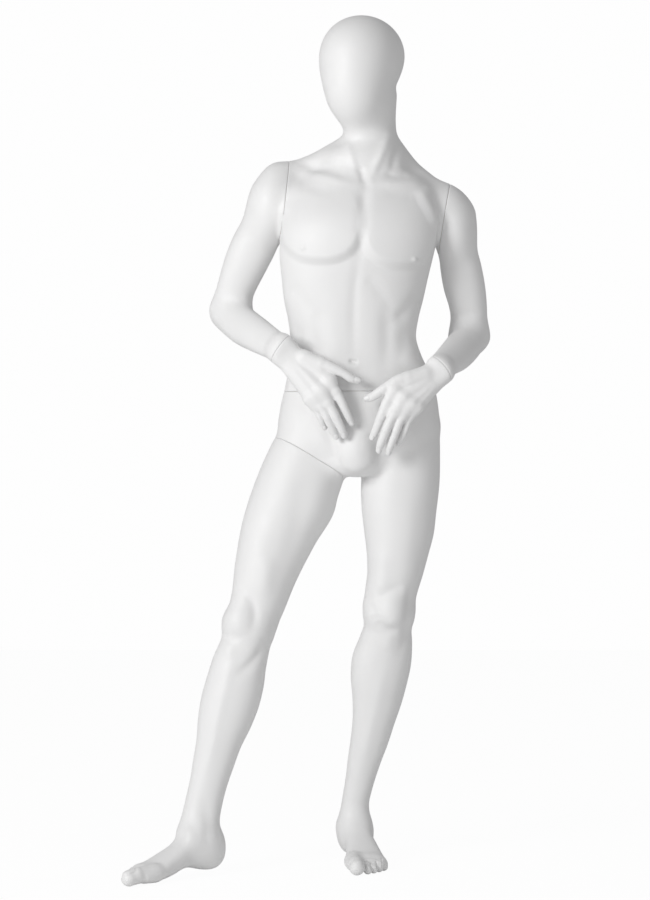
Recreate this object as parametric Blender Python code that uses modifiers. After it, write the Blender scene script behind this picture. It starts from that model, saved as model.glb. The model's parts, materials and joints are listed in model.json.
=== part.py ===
"""Full body display mannequin, faceless, standing with both hands in front of the hips.

The skin is worked like clay: a signed distance is added up limb by limb on a grid of
points, each limb running smoothly into the last, and the zero level becomes the mesh.
Seven white shells come from it, cut apart at the seams of the real figure, with the
plates and fittings that join them inside. Metres, +Z up, the figure faces -Y and its
right hand is at -X.
"""

import math

import bmesh
import bpy
import numpy as np
import openvdb
from mathutils import Matrix, Vector

# ------------------------------------------------------------------ driving sizes
STAND = Vector((0.0960, 0.0715, 0.0))  # moves the figure over the origin of the part

WALL = 0.005  # glass fibre shell
SEAM = 0.0006  # gap between two shells at a seam
WRIST_REACH = 0.040  # half of the cut across a wrist, which must stay clear of the waist
FIT = 0.0003  # running clearance of fittings
GRAIN = 0.005  # spacing of the grid for the body
HAND_GRAIN = 0.0026  # and for the hands

BODY_SHARE = 0.024  # part of the faces that the skin keeps
CORE_SHARE = 0.0100
HAND_SHARE = 0.031

# Heights and places of the joints, right is the figure's right (-X)
HEAD_TURN = math.radians(20)  # towards its right shoulder
HEAD_TOP = 1.868
HIP_R, KNEE_R, ANKLE_R = (-0.095, 0.010, 0.950), (-0.2335, -0.058, 0.534), (-0.3235, -0.118, 0.087)
HIP_L, KNEE_L, ANKLE_L = (0.105, 0.010, 0.960), (0.077, -0.022, 0.562), (0.002, 0.070, 0.089)
SHOULDER_R, ELBOW_R, WRIST_R = (-0.184, 0.030, 1.470), (-0.278, 0.100, 1.220), (-0.159, -0.116, 1.131)
SHOULDER_L, ELBOW_L, WRIST_L = (0.225, 0.030, 1.430), (0.255, 0.100, 1.167), (0.1805, -0.129, 1.0925)
FOREARM_WIDE_R, FOREARM_WIDE_L = (0.590, 0, 0.807), (-0.719, 0, 0.695)  # the wide way of each forearm
FOOT_R_HEADING, FOOT_L_HEADING = -52, 8  # degrees from straight ahead, towards +X
FOOT_LENGTH_R, FOOT_LENGTH_L = 0.2725, 0.262
HEEL_BACK = 0.0405  # from the ankle's joint to the start of the heel


def beside(joint, *offset):
    """A place given from a joint."""
    return tuple(float(a + b) for a, b in zip(joint, offset))


def between(a, b):
    return tuple((p + q) / 2 for p, q in zip(a, b))


HIPS, SHOULDERS = between(HIP_R, HIP_L), between(SHOULDER_R, SHOULDER_L)
WAIST_HEIGHT = HIPS[2] + 0.086
ARMPIT_HEIGHT = SHOULDERS[2] - 0.085  # the arms run into the chest above it

# Seams: a point on each cutting plane and its normal, towards the limb
SHOULDER_SEAM_R = (beside(SHOULDER_R, 0.0264, -0.010, -0.015), (-1, -0.07, 0.13))
SHOULDER_SEAM_L = (beside(SHOULDER_L, -0.0292, -0.010, -0.015), (1, -0.048, -0.168))
WRIST_SEAM_R = (beside(WRIST_R, -0.0029, 0.004, -0.003), (0.773, -0.273, -0.571))
WRIST_SEAM_L = (beside(WRIST_L, -0.0022, 0.002, -0.0024), (-0.689, -0.459, -0.560))
HIP_SEAM = (beside(HIP_R, -0.005, -0.010, -0.058), (-0.52, -0.13, -0.845))

# Fittings
PLATE = 0.012  # plywood plates inside the shells
WAIST_PLATE = 0.015
POST_RADIUS, POST_LENGTH = 0.016, 0.105
POST_FLANGE, FLANGE_THICK = 0.040, 0.004
SOCKET_WALL, SOCKET_LENGTH = 0.004, 0.060
DOWEL_RADIUS, DOWEL_LENGTH, DOWEL_SPREAD = 0.005, 0.012, 0.075
HIP_PIN_RADIUS, HIP_PIN_LENGTH, HIP_FLANGE = 0.010, 0.036, 0.027
SCREW_RADIUS, SCREW_HEAD, SCREW_LENGTH = 0.0022, 0.0040, 0.0095
SPIGOT_RADIUS, SPIGOT_WALL, SPIGOT_LENGTH = 0.0063, 0.0022, 0.062
SPIGOT_FLANGE = 0.0150
SOLE_HEIGHT = 0.0205  # the heels are raised, as for a shoe
BLOCK_HEIGHT = 0.030
ARM_FITTING = {"plate": 0.012, "spindle": 0.009, "head": 0.015, "bush": 0.013, "flange": 0.019,
               "key": 0.0060, "key_length": 0.016, "receiver": 0.016, "magnet": 0.008, "magnet_thick": 0.003}
WRIST_FITTING = {"plate": 0.006, "spindle": 0.0045, "head": 0.0070, "bush": 0.0068, "flange": 0.0092,
                 "key": 0.0030, "key_length": 0.010, "receiver": 0.0080, "magnet": 0.0038, "magnet_thick": 0.002}

ROUND = 14  # sides of a turned piece

# Colour, roughness and metallic value of each finish
FINISHES = {
    "shell_white": ((0.80, 0.79, 0.77), 0.50, 0.0),
    "plywood": ((0.62, 0.46, 0.28), 0.70, 0.0),
    "steel": ((0.55, 0.55, 0.56), 0.30, 1.0),
    "zinc": ((0.66, 0.67, 0.70), 0.35, 1.0),
    "nylon": ((0.10, 0.10, 0.11), 0.45, 0.0),
}

# Limbs and torso: the share of the way between two joints, then how far the section reaches
# to each side, to the front and to the back
TORSO = [
    (-0.117, -0.106, 0.118, -0.097, 0.1), (-0.04, -0.152, 0.176, -0.106, 0.122),
    (0.02, -0.166, 0.186, -0.108, 0.126), (0.094, -0.165, 0.184, -0.106, 0.118), (0.183, -0.155, 0.176, -0.103, 0.1),
    (0.272, -0.146, 0.16, -0.1, 0.082), (0.338, -0.141, 0.145, -0.097, 0.074), (0.414, -0.142, 0.134, -0.095, 0.073),
    (0.494, -0.147, 0.1386, -0.097, 0.081), (0.583, -0.156, 0.1496, -0.104, 0.094),
    (0.677, -0.161, 0.16, -0.112, 0.106), (0.768, -0.1655, 0.171, -0.118, 0.114),
    (0.849, -0.165, 0.18, -0.12, 0.118), (0.939, -0.16, 0.185, -0.113, 0.118), (1.005, -0.155, 0.186, -0.1, 0.114),
    (1.081, -0.14, 0.174, -0.08, 0.105), (1.131, -0.105, 0.14, -0.06, 0.092),
]
NECK = [
    (0, -0.075, 0.075, -0.06, 0.062), (0.216, -0.064, 0.064, -0.058, 0.06), (0.431, -0.056, 0.06, -0.057, 0.058),
    (0.69, -0.052, 0.058, -0.056, 0.056), (0.949, -0.05, 0.056, -0.05, 0.05),
]
UPPER_ARM_R = [
    (0, -0.042, 0.046, -0.046, 0.05), (0.243, -0.045, 0.05, -0.047, 0.05), (0.417, -0.052, 0.048, -0.047, 0.048),
    (0.59, -0.053, 0.042, -0.046, 0.044), (0.761, -0.05, 0.036, -0.043, 0.04), (0.965, -0.045, 0.036, -0.04, 0.04),
]
UPPER_ARM_L = [
    (0, -0.048, 0.038, -0.046, 0.05), (0.248, -0.046, 0.037, -0.047, 0.05), (0.416, -0.047, 0.044, -0.047, 0.048),
    (0.584, -0.044, 0.048, -0.046, 0.044), (0.745, -0.036, 0.048, -0.043, 0.04), (0.997, -0.036, 0.042, -0.04, 0.04),
]
FOREARM_R = [
    (0, -0.043, 0.036, -0.04, 0.038), (0.169, -0.0465, 0.036, -0.042, 0.038), (0.339, -0.048, 0.034, -0.037, 0.034),
    (0.546, -0.044, 0.0325, -0.032, 0.03), (0.753, -0.038, 0.03, -0.025, 0.024),
    (0.998, -0.03, 0.0285, -0.019, 0.019), (1.058, -0.029, 0.0275, -0.018, 0.018),
]
FOREARM_L = [
    (0, -0.04, 0.036, -0.04, 0.038), (0.177, -0.0445, 0.033, -0.042, 0.038), (0.354, -0.046, 0.032, -0.037, 0.034),
    (0.57, -0.044, 0.03, -0.032, 0.03), (0.786, -0.037, 0.028, -0.025, 0.024), (1.003, -0.03, 0.027, -0.019, 0.019),
    (1.066, -0.029, 0.026, -0.018, 0.018),
]
THIGH_R = [
    (0, -0.068, 0.08, -0.085, 0.09), (0.18, -0.08, 0.096, -0.088, 0.092), (0.26, -0.083, 0.106, -0.088, 0.09),
    (0.338, -0.0845, 0.1025, -0.088, 0.088),
    (0.519, -0.083, 0.084, -0.083, 0.08), (0.722, -0.07, 0.07, -0.073, 0.068), (0.925, -0.053, 0.063, -0.06, 0.06),
    (1.006, -0.053, 0.058, -0.058, 0.056),
]
THIGH_L = [
    (0, -0.078, 0.082, -0.085, 0.09), (0.125, -0.08, 0.086, -0.088, 0.092), (0.287, -0.083, 0.089, -0.088, 0.092),
    (0.45, -0.078, 0.086, -0.085, 0.084), (0.569, -0.0695, 0.0835, -0.08, 0.078),
    (0.681, -0.061, 0.075, -0.075, 0.07), (0.793, -0.056, 0.066, -0.068, 0.064),
    (0.906, -0.058, 0.0555, -0.062, 0.058), (1.017, -0.057, 0.05, -0.058, 0.054),
]
SHIN_R = [
    (0, -0.052, 0.056, -0.056, 0.056), (0.083, -0.051, 0.0565, -0.052, 0.056), (0.181, -0.06, 0.057, -0.05, 0.058),
    (0.279, -0.065, 0.06, -0.05, 0.062), (0.376, -0.068, 0.058, -0.05, 0.06), (0.474, -0.066, 0.05, -0.048, 0.054),
    (0.572, -0.06, 0.038, -0.044, 0.046), (0.67, -0.058, 0.031, -0.038, 0.04), (0.768, -0.056, 0.025, -0.034, 0.036),
    (0.866, -0.057, 0.023, -0.032, 0.034), (0.994, -0.059, 0.026, -0.034, 0.034),
]
SHIN_L = [
    (0, -0.055, 0.05, -0.056, 0.054), (0.048, -0.05, 0.051, -0.053, 0.054), (0.143, -0.056, 0.06, -0.048, 0.058),
    (0.238, -0.065, 0.065, -0.046, 0.064), (0.333, -0.062, 0.063, -0.046, 0.066),
    (0.428, -0.051, 0.058, -0.044, 0.06), (0.523, -0.043, 0.05, -0.042, 0.05), (0.619, -0.04, 0.043, -0.038, 0.042),
    (0.712, -0.039, 0.034, -0.035, 0.036), (0.807, -0.037, 0.027, -0.033, 0.034),
    (0.902, -0.037, 0.023, -0.033, 0.034), (1.017, -0.036, 0.024, -0.034, 0.036),
]
FOOT = [
    (0.115, -0.026, 0.026, 0.026, 0.085), (0.229, -0.027, 0.029, 0.025, 0.1), (0.382, -0.030, 0.031, 0.0185, 0.080),
    (0.534, -0.038, 0.036, 0.0065, 0.058), (0.668, -0.043, 0.043, 0.0015, 0.041), (0.744, -0.043, 0.045, 0.001, 0.036),
]
# Toes: place across the foot, shares of its length for the start and the tip, and the radius at each
TOES = [
    (0.03, 0.706, 0.962, 0.018, 0.0145), (0.008, 0.725, 0.954, 0.012, 0.0105), (-0.0085, 0.718, 0.924, 0.011, 0.01),
    (-0.024, 0.695, 0.878, 0.011, 0.0095), (-0.038, 0.656, 0.821, 0.011, 0.0095),
]

# Hands, from the wrist: the joints of each finger as x, y, z and radius, the knuckle first
HAND_R = [
    [(0.1016, -0.0240, -0.0717, 0.0115), (0.1219, -0.0230, -0.1006, 0.0098), (0.1338, -0.0210, -0.1264, 0.0092),
     (0.1445, -0.0150, -0.1488, 0.0080), (0.1500, -0.0110, -0.1601, 0.0066)],
    [(0.0844, -0.0260, -0.0910, 0.0115), (0.1069, -0.0270, -0.1285, 0.0100), (0.1177, -0.0250, -0.1500, 0.0094),
     (0.1295, -0.0170, -0.1745, 0.0084), (0.1342, -0.0120, -0.1863, 0.0072)],
    [(0.0694, -0.0240, -0.1039, 0.0110), (0.0898, -0.0250, -0.1328, 0.0094), (0.0999, -0.0230, -0.1543, 0.0088),
     (0.1102, -0.0140, -0.1757, 0.0078), (0.1166, -0.0090, -0.1892, 0.0066)],
    [(0.0587, -0.0180, -0.1111, 0.0095), (0.0743, -0.0160, -0.1316, 0.0082), (0.0829, -0.0120, -0.1498, 0.0074),
     (0.0883, -0.0080, -0.1605, 0.0068), (0.0926, -0.0040, -0.1697, 0.0058)],
    [(0.0522, -0.0120, -0.0177, 0.0135), (0.0994, -0.0210, -0.0373, 0.0125), (0.1316, -0.0230, -0.0524, 0.0098),
     (0.1477, -0.0210, -0.0631, 0.0096), (0.1638, -0.0180, -0.0677, 0.0082)],
]
PALM_R = [  # from the heel of the hand to each knuckle
    [(0.0177, -0.0040, -0.0002, 0.0175), (0.1037, -0.0210, -0.0674, 0.0135)],
    [(0.0134, -0.0050, -0.0066, 0.0175), (0.0866, -0.0230, -0.0910, 0.0135)],
    [(0.0069, -0.0050, -0.0152, 0.0170), (0.0715, -0.0210, -0.1018, 0.0130)],
    [(0.0026, -0.0030, -0.0238, 0.0160), (0.0608, -0.0150, -0.1060, 0.0120)],
]
HAND_L = [
    [(-0.1010, -0.0230, -0.0528, 0.0120), (-0.1202, -0.0210, -0.0913, 0.0102), (-0.1298, -0.0170, -0.1158, 0.0095),
     (-0.1401, -0.0080, -0.1415, 0.0082), (-0.1449, -0.0030, -0.1524, 0.0068)],
    [(-0.0807, -0.0260, -0.0700, 0.0118), (-0.1063, -0.0270, -0.1149, 0.0102), (-0.1172, -0.0240, -0.1405, 0.0096),
     (-0.1281, -0.0120, -0.1683, 0.0084), (-0.1306, -0.0060, -0.1801, 0.0072)],
    [(-0.0625, -0.0240, -0.0806, 0.0112), (-0.0861, -0.0240, -0.1169, 0.0095), (-0.0961, -0.0210, -0.1437, 0.0090),
     (-0.1071, -0.0090, -0.1726, 0.0080), (-0.1100, -0.0030, -0.1842, 0.0068)],
    [(-0.0474, -0.0170, -0.0870, 0.0100), (-0.0681, -0.0150, -0.1169, 0.0082), (-0.0761, -0.0120, -0.1393, 0.0076),
     (-0.0855, -0.0040, -0.1586, 0.0068), (-0.0893, 0.0000, -0.1661, 0.0058)],
    [(-0.0344, -0.0120, -0.0161, 0.0140), (-0.0840, -0.0230, -0.0281, 0.0130), (-0.1160, -0.0220, -0.0453, 0.0105),
     (-0.1417, -0.0170, -0.0630, 0.0098), (-0.1571, -0.0130, -0.0685, 0.0080)],
]
PALM_L = [
    [(-0.0148, -0.0050, -0.0094, 0.0175), (-0.0968, -0.0210, -0.0464, 0.0140)],
    [(-0.0127, -0.0070, -0.0160, 0.0175), (-0.0775, -0.0240, -0.0635, 0.0138)],
    [(-0.0084, -0.0070, -0.0245, 0.0170), (-0.0602, -0.0220, -0.0763, 0.0130)],
    [(-0.0068, -0.0040, -0.0300, 0.0148), (-0.0472, -0.0150, -0.0838, 0.0120)],
]


# ------------------------------------------------------------------ clay
def unit(v):
    v = np.array(v, float)
    return v / np.linalg.norm(v)


def cone(a, b, ra, rb):
    """A tapered bar with round ends, as (low corner, high corner, distance)."""
    a, b = np.array(a, float), np.array(b, float)
    d = b - a

    def distance(x, y, z):
        t = np.clip(((x - a[0]) * d[0] + (y - a[1]) * d[1] + (z - a[2]) * d[2]) / (d @ d), 0, 1)
        away = np.sqrt((x - a[0] - t * d[0]) ** 2 + (y - a[1] - t * d[1]) ** 2 + (z - a[2] - t * d[2]) ** 2)
        return away - (ra + (rb - ra) * t)

    r = max(ra, rb)
    return np.minimum(a, b) - r, np.maximum(a, b) + r, distance


def ellipsoid(centre, radii, along=(0, 0, 1), side=(1, 0, 0)):
    """radii are across, front to back and along."""
    c = np.array(centre, float)
    w = unit(along)
    u = unit(np.array(side, float) - w * (np.array(side, float) @ w))
    axes = [u, np.cross(w, u), w]

    def distance(x, y, z):
        local = [(x - c[0]) * k[0] + (y - c[1]) * k[1] + (z - c[2]) * k[2] for k in axes]
        near = np.sqrt(sum((p / r) ** 2 for p, r in zip(local, radii)))
        slope = np.sqrt(sum((p / r**2) ** 2 for p, r in zip(local, radii)))
        return near * (near - 1) / np.maximum(slope, 1e-6)

    box = np.sqrt(sum((k * r) ** 2 for k, r in zip(axes, radii)))
    return c - box, c + box, distance


def smooth_table(t, table):
    """The values of a table at t, by a smooth cubic through its rows."""
    places, values = table[:, 0], table[:, 1:]
    slopes = np.gradient(values, places, axis=0)
    t = np.clip(t, places[0], places[-1])
    i = np.clip(np.searchsorted(places, t) - 1, 0, len(places) - 2)
    step = places[i + 1] - places[i]
    q = (t - places[i]) / step
    start, turn_in = 2 * q**3 - 3 * q**2 + 1, q**3 - 2 * q**2 + q
    end, turn_out = 3 * q**2 - 2 * q**3, q**3 - q**2
    for k in range(values.shape[1]):
        v, s = values[:, k], slopes[:, k] * 1.0
        yield (start * v[i] + turn_in * s[i] * step + end * v[i + 1] + turn_out * s[i + 1] * step).astype(np.float32)


def limb(a, b, side, rows, power=2.2, cap=0.6):
    """A limb from a towards b, with rounded sections that follow its table."""
    a, b = np.array(a, float), np.array(b, float)
    length = np.linalg.norm(b - a)
    w = (b - a) / length
    u = unit(np.array(side, float) - w * (np.array(side, float) @ w))
    v = np.cross(w, u)
    v = -v if v[1] < 0 or (abs(v[1]) < 1e-6 and v[2] < 0) else v
    table = np.array(rows, float)
    first, last = table[0, 0], table[-1, 0]

    def distance(x, y, z):
        p, q, t = [(x - a[0]) * k[0] + (y - a[1]) * k[1] + (z - a[2]) * k[2] for k in (u, v, w)]
        low, high, front, back = smooth_table(t / length, table)
        wide, deep = (high - low) / 2, (back - front) / 2
        pu, pv = np.abs(p - (low + high) / 2), np.abs(q - (front + back) / 2)
        fu, fv = (pu / wide) ** power, (pv / deep) ** power
        rho = np.maximum(fu + fv, 1e-9) ** (1 / power)
        slope = np.hypot(fu / np.maximum(pu, 1e-6), fv / np.maximum(pv, 1e-6)) / rho ** (power - 1)
        d = (rho - 1) / np.maximum(slope, 1e-6)
        over = np.maximum(np.maximum(first * length - t, t - last * length), 0)
        end = np.minimum(wide, deep) * cap
        return np.where(over > 0, np.hypot(np.maximum(d + end, 0), over) - end, d)

    reach = np.abs(table[:, 1:]).max() * 1.3
    ends = np.array([a + (b - a) * first, a + (b - a) * last])
    return ends.min(0) - reach, ends.max(0) + reach, distance


class Clay:
    """A block of clay: a signed distance on a grid, negative inside."""

    FAR = 0.08

    def __init__(self, low, high, grain):
        self.low, self.grain = np.array(low, float), grain
        self.count = np.ceil((np.array(high) - self.low) / grain).astype(int) + 1
        self.value = np.full(self.count, self.FAR, np.float32)

    def add(self, shape, blend=0.01):
        """Adds a shape, which runs into the clay over the blend's width."""
        low, high, distance = shape
        reach = blend + 3 * self.grain
        first = np.clip(np.floor((low - reach - self.low) / self.grain).astype(int), 0, self.count)
        last = np.clip(np.ceil((high + reach - self.low) / self.grain).astype(int) + 1, 0, self.count)
        part = tuple(slice(a, b) for a, b in zip(first, last))
        x, y, z = [(self.low[i] + self.grain * np.arange(first[i], last[i])).astype(np.float32) for i in range(3)]
        other = distance(x[:, None, None], y[None, :, None], z[None, None, :])
        mine = self.value[part]
        share = np.maximum(blend - np.abs(mine - other), 0) / blend
        self.value[part] = np.minimum(mine, other) - share * share * blend / 4

    def join(self, other, blend_at):
        """Joins another block on the same grid, with a blend that depends on the height."""
        height = self.low[2] + self.grain * np.arange(self.count[2])
        blend = blend_at(height).astype(np.float32)
        share = np.maximum(blend - np.abs(self.value - other.value), 0) / blend
        self.value = np.minimum(self.value, other.value) - share * share * blend / 4

    def mesh(self, level=0.0):
        grid = openvdb.FloatGrid(background=self.FAR)
        grid.copyFromArray(self.value)
        points, triangles, quads = grid.convertToPolygons(isovalue=level, adaptivity=0.0)
        faces = [tuple(map(int, f)) for f in quads] + [tuple(map(int, f)) for f in triangles]
        mesh = bpy.data.meshes.new("clay")
        mesh.from_pydata([tuple(map(float, p)) for p in points * self.grain + self.low], [], faces)
        return mesh


# ------------------------------------------------------------------ the figure
def add_head(clay):
    face = np.array((-math.sin(HEAD_TURN), -math.cos(HEAD_TURN), 0))
    side = np.array((math.cos(HEAD_TURN), -math.sin(HEAD_TURN), 0))
    centre = np.array((0.0143, -0.005, HEAD_TOP))
    clay.add(ellipsoid(centre - face * 0.006 - (0, 0, 0.087), (0.0905, 0.1115, 0.0870), side=side))
    clay.add(ellipsoid(centre + face * 0.024 - (0, 0, 0.150), (0.0740, 0.0860, 0.0995), side=side), 0.04)


def add_neck(clay):
    base, top = beside(SHOULDERS, 0.0155, 0.010, 0.020), (0.031, 0.012, HEAD_TOP - 0.168)
    clay.add(limb(base, top, (1, 0, 0), NECK, power=2.1), 0.03)
    clay.add(cone(beside(base, -0.046, 0.010, 0.094), beside(SHOULDER_R, 0.036, 0.005, 0.040), 0.036, 0.036), 0.04)
    clay.add(cone(beside(base, 0.044, 0.010, 0.081), beside(SHOULDER_L, -0.025, 0.005, 0.023), 0.036, 0.036), 0.04)


def add_arms(clay):
    clay.add(ellipsoid(beside(SHOULDER_R, 0.001, -0.008, -0.012), (0.047, 0.060, 0.083), (-0.15, 0, -1)), 0.04)
    clay.add(limb(SHOULDER_R, ELBOW_R, (1, 0, 0), UPPER_ARM_R), 0.03)
    clay.add(ellipsoid(beside(SHOULDER_L, -0.011, -0.008, -0.017), (0.046, 0.060, 0.078), (0.2, 0, -1)), 0.04)
    clay.add(limb(SHOULDER_L, ELBOW_L, (1, 0, 0), UPPER_ARM_L), 0.03)
    clay.add(limb(ELBOW_R, WRIST_R, FOREARM_WIDE_R, FOREARM_R), 0.03)
    clay.add(limb(ELBOW_L, WRIST_L, FOREARM_WIDE_L, FOREARM_L), 0.03)


def add_hips(clay):
    clay.add(ellipsoid(beside(HIP_R, 0.020, 0.066, -0.015), (0.076, 0.062, 0.085)), 0.045)
    clay.add(ellipsoid(beside(HIP_L, -0.017, 0.066, -0.020), (0.078, 0.062, 0.085)), 0.045)
    clay.add(ellipsoid(beside(HIPS, -0.001, -0.085, -0.041), (0.040, 0.048, 0.052), (0, 0.1, 1)), 0.025)


def add_legs(clay):
    clay.add(limb(HIP_R, KNEE_R, (1, 0, 0), THIGH_R), 0.02)
    clay.add(limb(KNEE_R, ANKLE_R, (1, 0, 0), SHIN_R), 0.02)
    clay.add(limb(HIP_L, KNEE_L, (1, 0, 0), THIGH_L), 0.010)
    clay.add(limb(KNEE_L, ANKLE_L, (1, 0, 0), SHIN_L), 0.02)


def add_foot(clay, ankle, heading, left, length):
    """Toes point along the heading. Places run from the heel, and towards the big toe."""
    turn = math.radians(heading)
    ahead = np.array((math.sin(turn), -math.cos(turn), 0))
    inner = np.array((ahead[1], -ahead[0], 0)) * (1 if left else -1)
    heel = np.array((ankle[0], ankle[1], 0)) - ahead * HEEL_BACK

    def at(along, across, height):
        return heel + ahead * along * length + inner * across + (0, 0, height)

    clay.add(ellipsoid(at(0.130, 0, 0.050), (0.029, 0.034, 0.034), side=inner), 0.03)
    clay.add(limb(at(0, 0, 0), at(1, 0, 0), inner, FOOT, power=2.4, cap=0.5), 0.03)
    for across, start, tip, root, end in TOES:
        bend = at((start + tip) / 2 + 0.023, across * 1.03, root + 0.005)
        clay.add(cone(at(start, across * 0.95, root + 0.004), bend, root, end), 0.008)
        clay.add(cone(bend, at(tip - end / length, across * 1.04, end + 0.001), end, end), 0.006)


def body_clay():
    corners = (-0.64, -0.40, -0.03), (0.36, 0.22, HEAD_TOP + 0.03)
    clay, arms = Clay(*corners, GRAIN), Clay(*corners, GRAIN)
    clay.add(limb((0, 0, HIPS[2]), (0, 0, SHOULDERS[2]), (1, 0, 0), TORSO, power=2.3, cap=0.4), 0.001)
    add_hips(clay)
    add_legs(clay)
    add_foot(clay, ANKLE_R, FOOT_R_HEADING, False, FOOT_LENGTH_R)
    add_foot(clay, ANKLE_L, FOOT_L_HEADING, True, FOOT_LENGTH_L)
    add_neck(clay)
    add_head(clay)
    add_arms(arms)
    clay.join(arms, lambda height: 0.002 + 0.040 * np.clip((height - ARMPIT_HEIGHT) / 0.07, 0, 1))
    return clay


def hand_clay(elbow, wrist, side, forearm, palm, fingers):
    """A hand whose palm and fingers are given from the wrist, with the end of the forearm."""
    offsets = np.array([point[:3] for finger in fingers for point in finger] + [(0, 0, 0)])
    clay = Clay(offsets.min(0) + wrist - 0.045, offsets.max(0) + wrist + 0.045, HAND_GRAIN)
    clay.add(limb(elbow, wrist, side, forearm), 0.001)
    for start, knuckle in palm:
        clay.add(cone(beside(wrist, *start[:3]), beside(wrist, *knuckle[:3]), start[3], knuckle[3]), 0.016)
    for finger in fingers:
        for i, (a, b) in enumerate(zip(finger[:-1], finger[1:])):
            clay.add(cone(beside(wrist, *a[:3]), beside(wrist, *b[:3]), a[3], b[3]), 0.006 if i else 0.012)
    return clay


# ------------------------------------------------------------------ meshes
def new_object(name, mesh, collection):
    obj = bpy.data.objects.new(name, mesh)
    collection.objects.link(obj)
    return obj


def evaluated(obj):
    """The object's mesh with its modifiers applied, and the object removed."""
    graph = bpy.context.evaluated_depsgraph_get()
    mesh = bpy.data.meshes.new_from_object(obj.evaluated_get(graph))
    mesh.transform(obj.matrix_world)
    bpy.data.objects.remove(obj)
    return mesh


def thinned(mesh, share):
    obj = new_object("thin", mesh, bpy.context.scene.collection)
    obj.modifiers.new("thin", "DECIMATE").ratio = share
    obj.modifiers.new("faces", "TRIANGULATE")
    return evaluated(obj)


def combined(mesh, cutters, operation="DIFFERENCE"):
    """The mesh less the cutters, one after the other, or what it shares with them."""
    obj = new_object("work", mesh, bpy.context.scene.collection)
    helpers = []
    for cutter in cutters:
        helpers.append(new_object("cutter", cutter, bpy.context.scene.collection))
        modifier = obj.modifiers.new("cut", "BOOLEAN")
        modifier.operation, modifier.solver, modifier.object = operation, "EXACT", helpers[-1]
    result = evaluated(obj)
    for helper in helpers:
        bpy.data.objects.remove(helper)
    return result


def islands(mesh):
    """The separate bodies of a mesh, as (mesh, its points, number of faces)."""
    bm = bmesh.new()
    bm.from_mesh(mesh)
    left, found = set(bm.verts), []
    while left:
        seed = left.pop()
        group, queue = {seed}, [seed]
        while queue:
            for edge in queue.pop().link_edges:
                for vert in edge.verts:
                    if vert not in group:
                        group.add(vert)
                        queue.append(vert)
        left -= group
        found.append(group)
    bm.verts.index_update()
    result = []
    for group in found:
        order = sorted(v.index for v in group)
        place = {index: i for i, index in enumerate(order)}
        faces = [[place[v.index] for v in f.verts] for f in bm.faces if f.verts[0] in group]
        bm.verts.ensure_lookup_table()
        points = [bm.verts[i].co[:] for i in order]
        piece = bpy.data.meshes.new("island")
        piece.from_pydata(points, [], faces)
        result.append((piece, np.array(points), len(faces)))
    bm.free()
    return result


def largest(mesh):
    return max(islands(mesh), key=lambda found: found[2])[0]


def along(place, normal):
    """A frame at place with its Z along the normal and its Y as near up as it can be."""
    z = Vector(normal).normalized()
    up = Vector((0, 0, 1)) if abs(z.z) < 0.95 else Vector((0, -1, 0))
    y = (up - z * up.dot(z)).normalized()
    return Matrix.Translation(place) @ Matrix((y.cross(z), y, z)).transposed().to_4x4()


def box_mesh(low, high, frame=None):
    mesh = bpy.data.meshes.new("box")
    bm = bmesh.new()
    bmesh.ops.create_cube(bm, size=1)
    size = Vector(high) - Vector(low)
    bm.transform(Matrix.Translation((Vector(high) + Vector(low)) / 2) @ Matrix.Diagonal((*size, 1)))
    if frame:
        bm.transform(frame)
    bm.to_mesh(mesh)
    bm.free()
    return mesh


def turned_mesh(profile, frame=None, sides=ROUND):
    """A turned solid from the (radius, height) points of its section, closed unless it ends on the axis."""
    mesh = bpy.data.meshes.new("turned")
    last = len(profile) - 1
    edges = [(k, k + 1) for k in range(last)] + ([(last, 0)] if profile[0][0] > 0 else [])
    mesh.from_pydata([(radius, 0, height) for radius, height in profile], edges, [])
    obj = new_object("turned", mesh, bpy.context.scene.collection)
    screw = obj.modifiers.new("turn", "SCREW")
    screw.steps = screw.render_steps = sides
    screw.use_merge_vertices, screw.merge_threshold = True, 1e-5
    mesh = evaluated(obj)
    bm = bmesh.new()
    bm.from_mesh(mesh)
    bmesh.ops.recalc_face_normals(bm, faces=bm.faces)
    if frame:
        bm.transform(frame)
    bm.to_mesh(mesh)
    bm.free()
    return mesh


def rod(radius, low, high, frame=None, sides=ROUND):
    return turned_mesh([(0, low), (radius, low), (radius, high), (0, high)], frame, sides)


def shrunk(mesh, depth):
    """The mesh with its skin moved in by depth."""
    obj = new_object("shrink", mesh.copy(), bpy.context.scene.collection)
    modifier = obj.modifiers.new("shrink", "DISPLACE")
    modifier.strength, modifier.mid_level = -depth, 0
    return evaluated(obj)


# ------------------------------------------------------------------ the parts
def finish(name):
    """The material of a finish, made once."""
    if name in bpy.data.materials:
        return bpy.data.materials[name]
    material = bpy.data.materials.new(name)
    material.use_nodes = True
    colour, roughness, metallic = FINISHES[name]
    shader = material.node_tree.nodes["Principled BSDF"]
    shader.inputs["Base Color"].default_value = (*colour, 1)
    shader.inputs["Roughness"].default_value = roughness
    shader.inputs["Metallic"].default_value = metallic
    material.diffuse_color = (*colour, 1)
    return material


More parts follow.
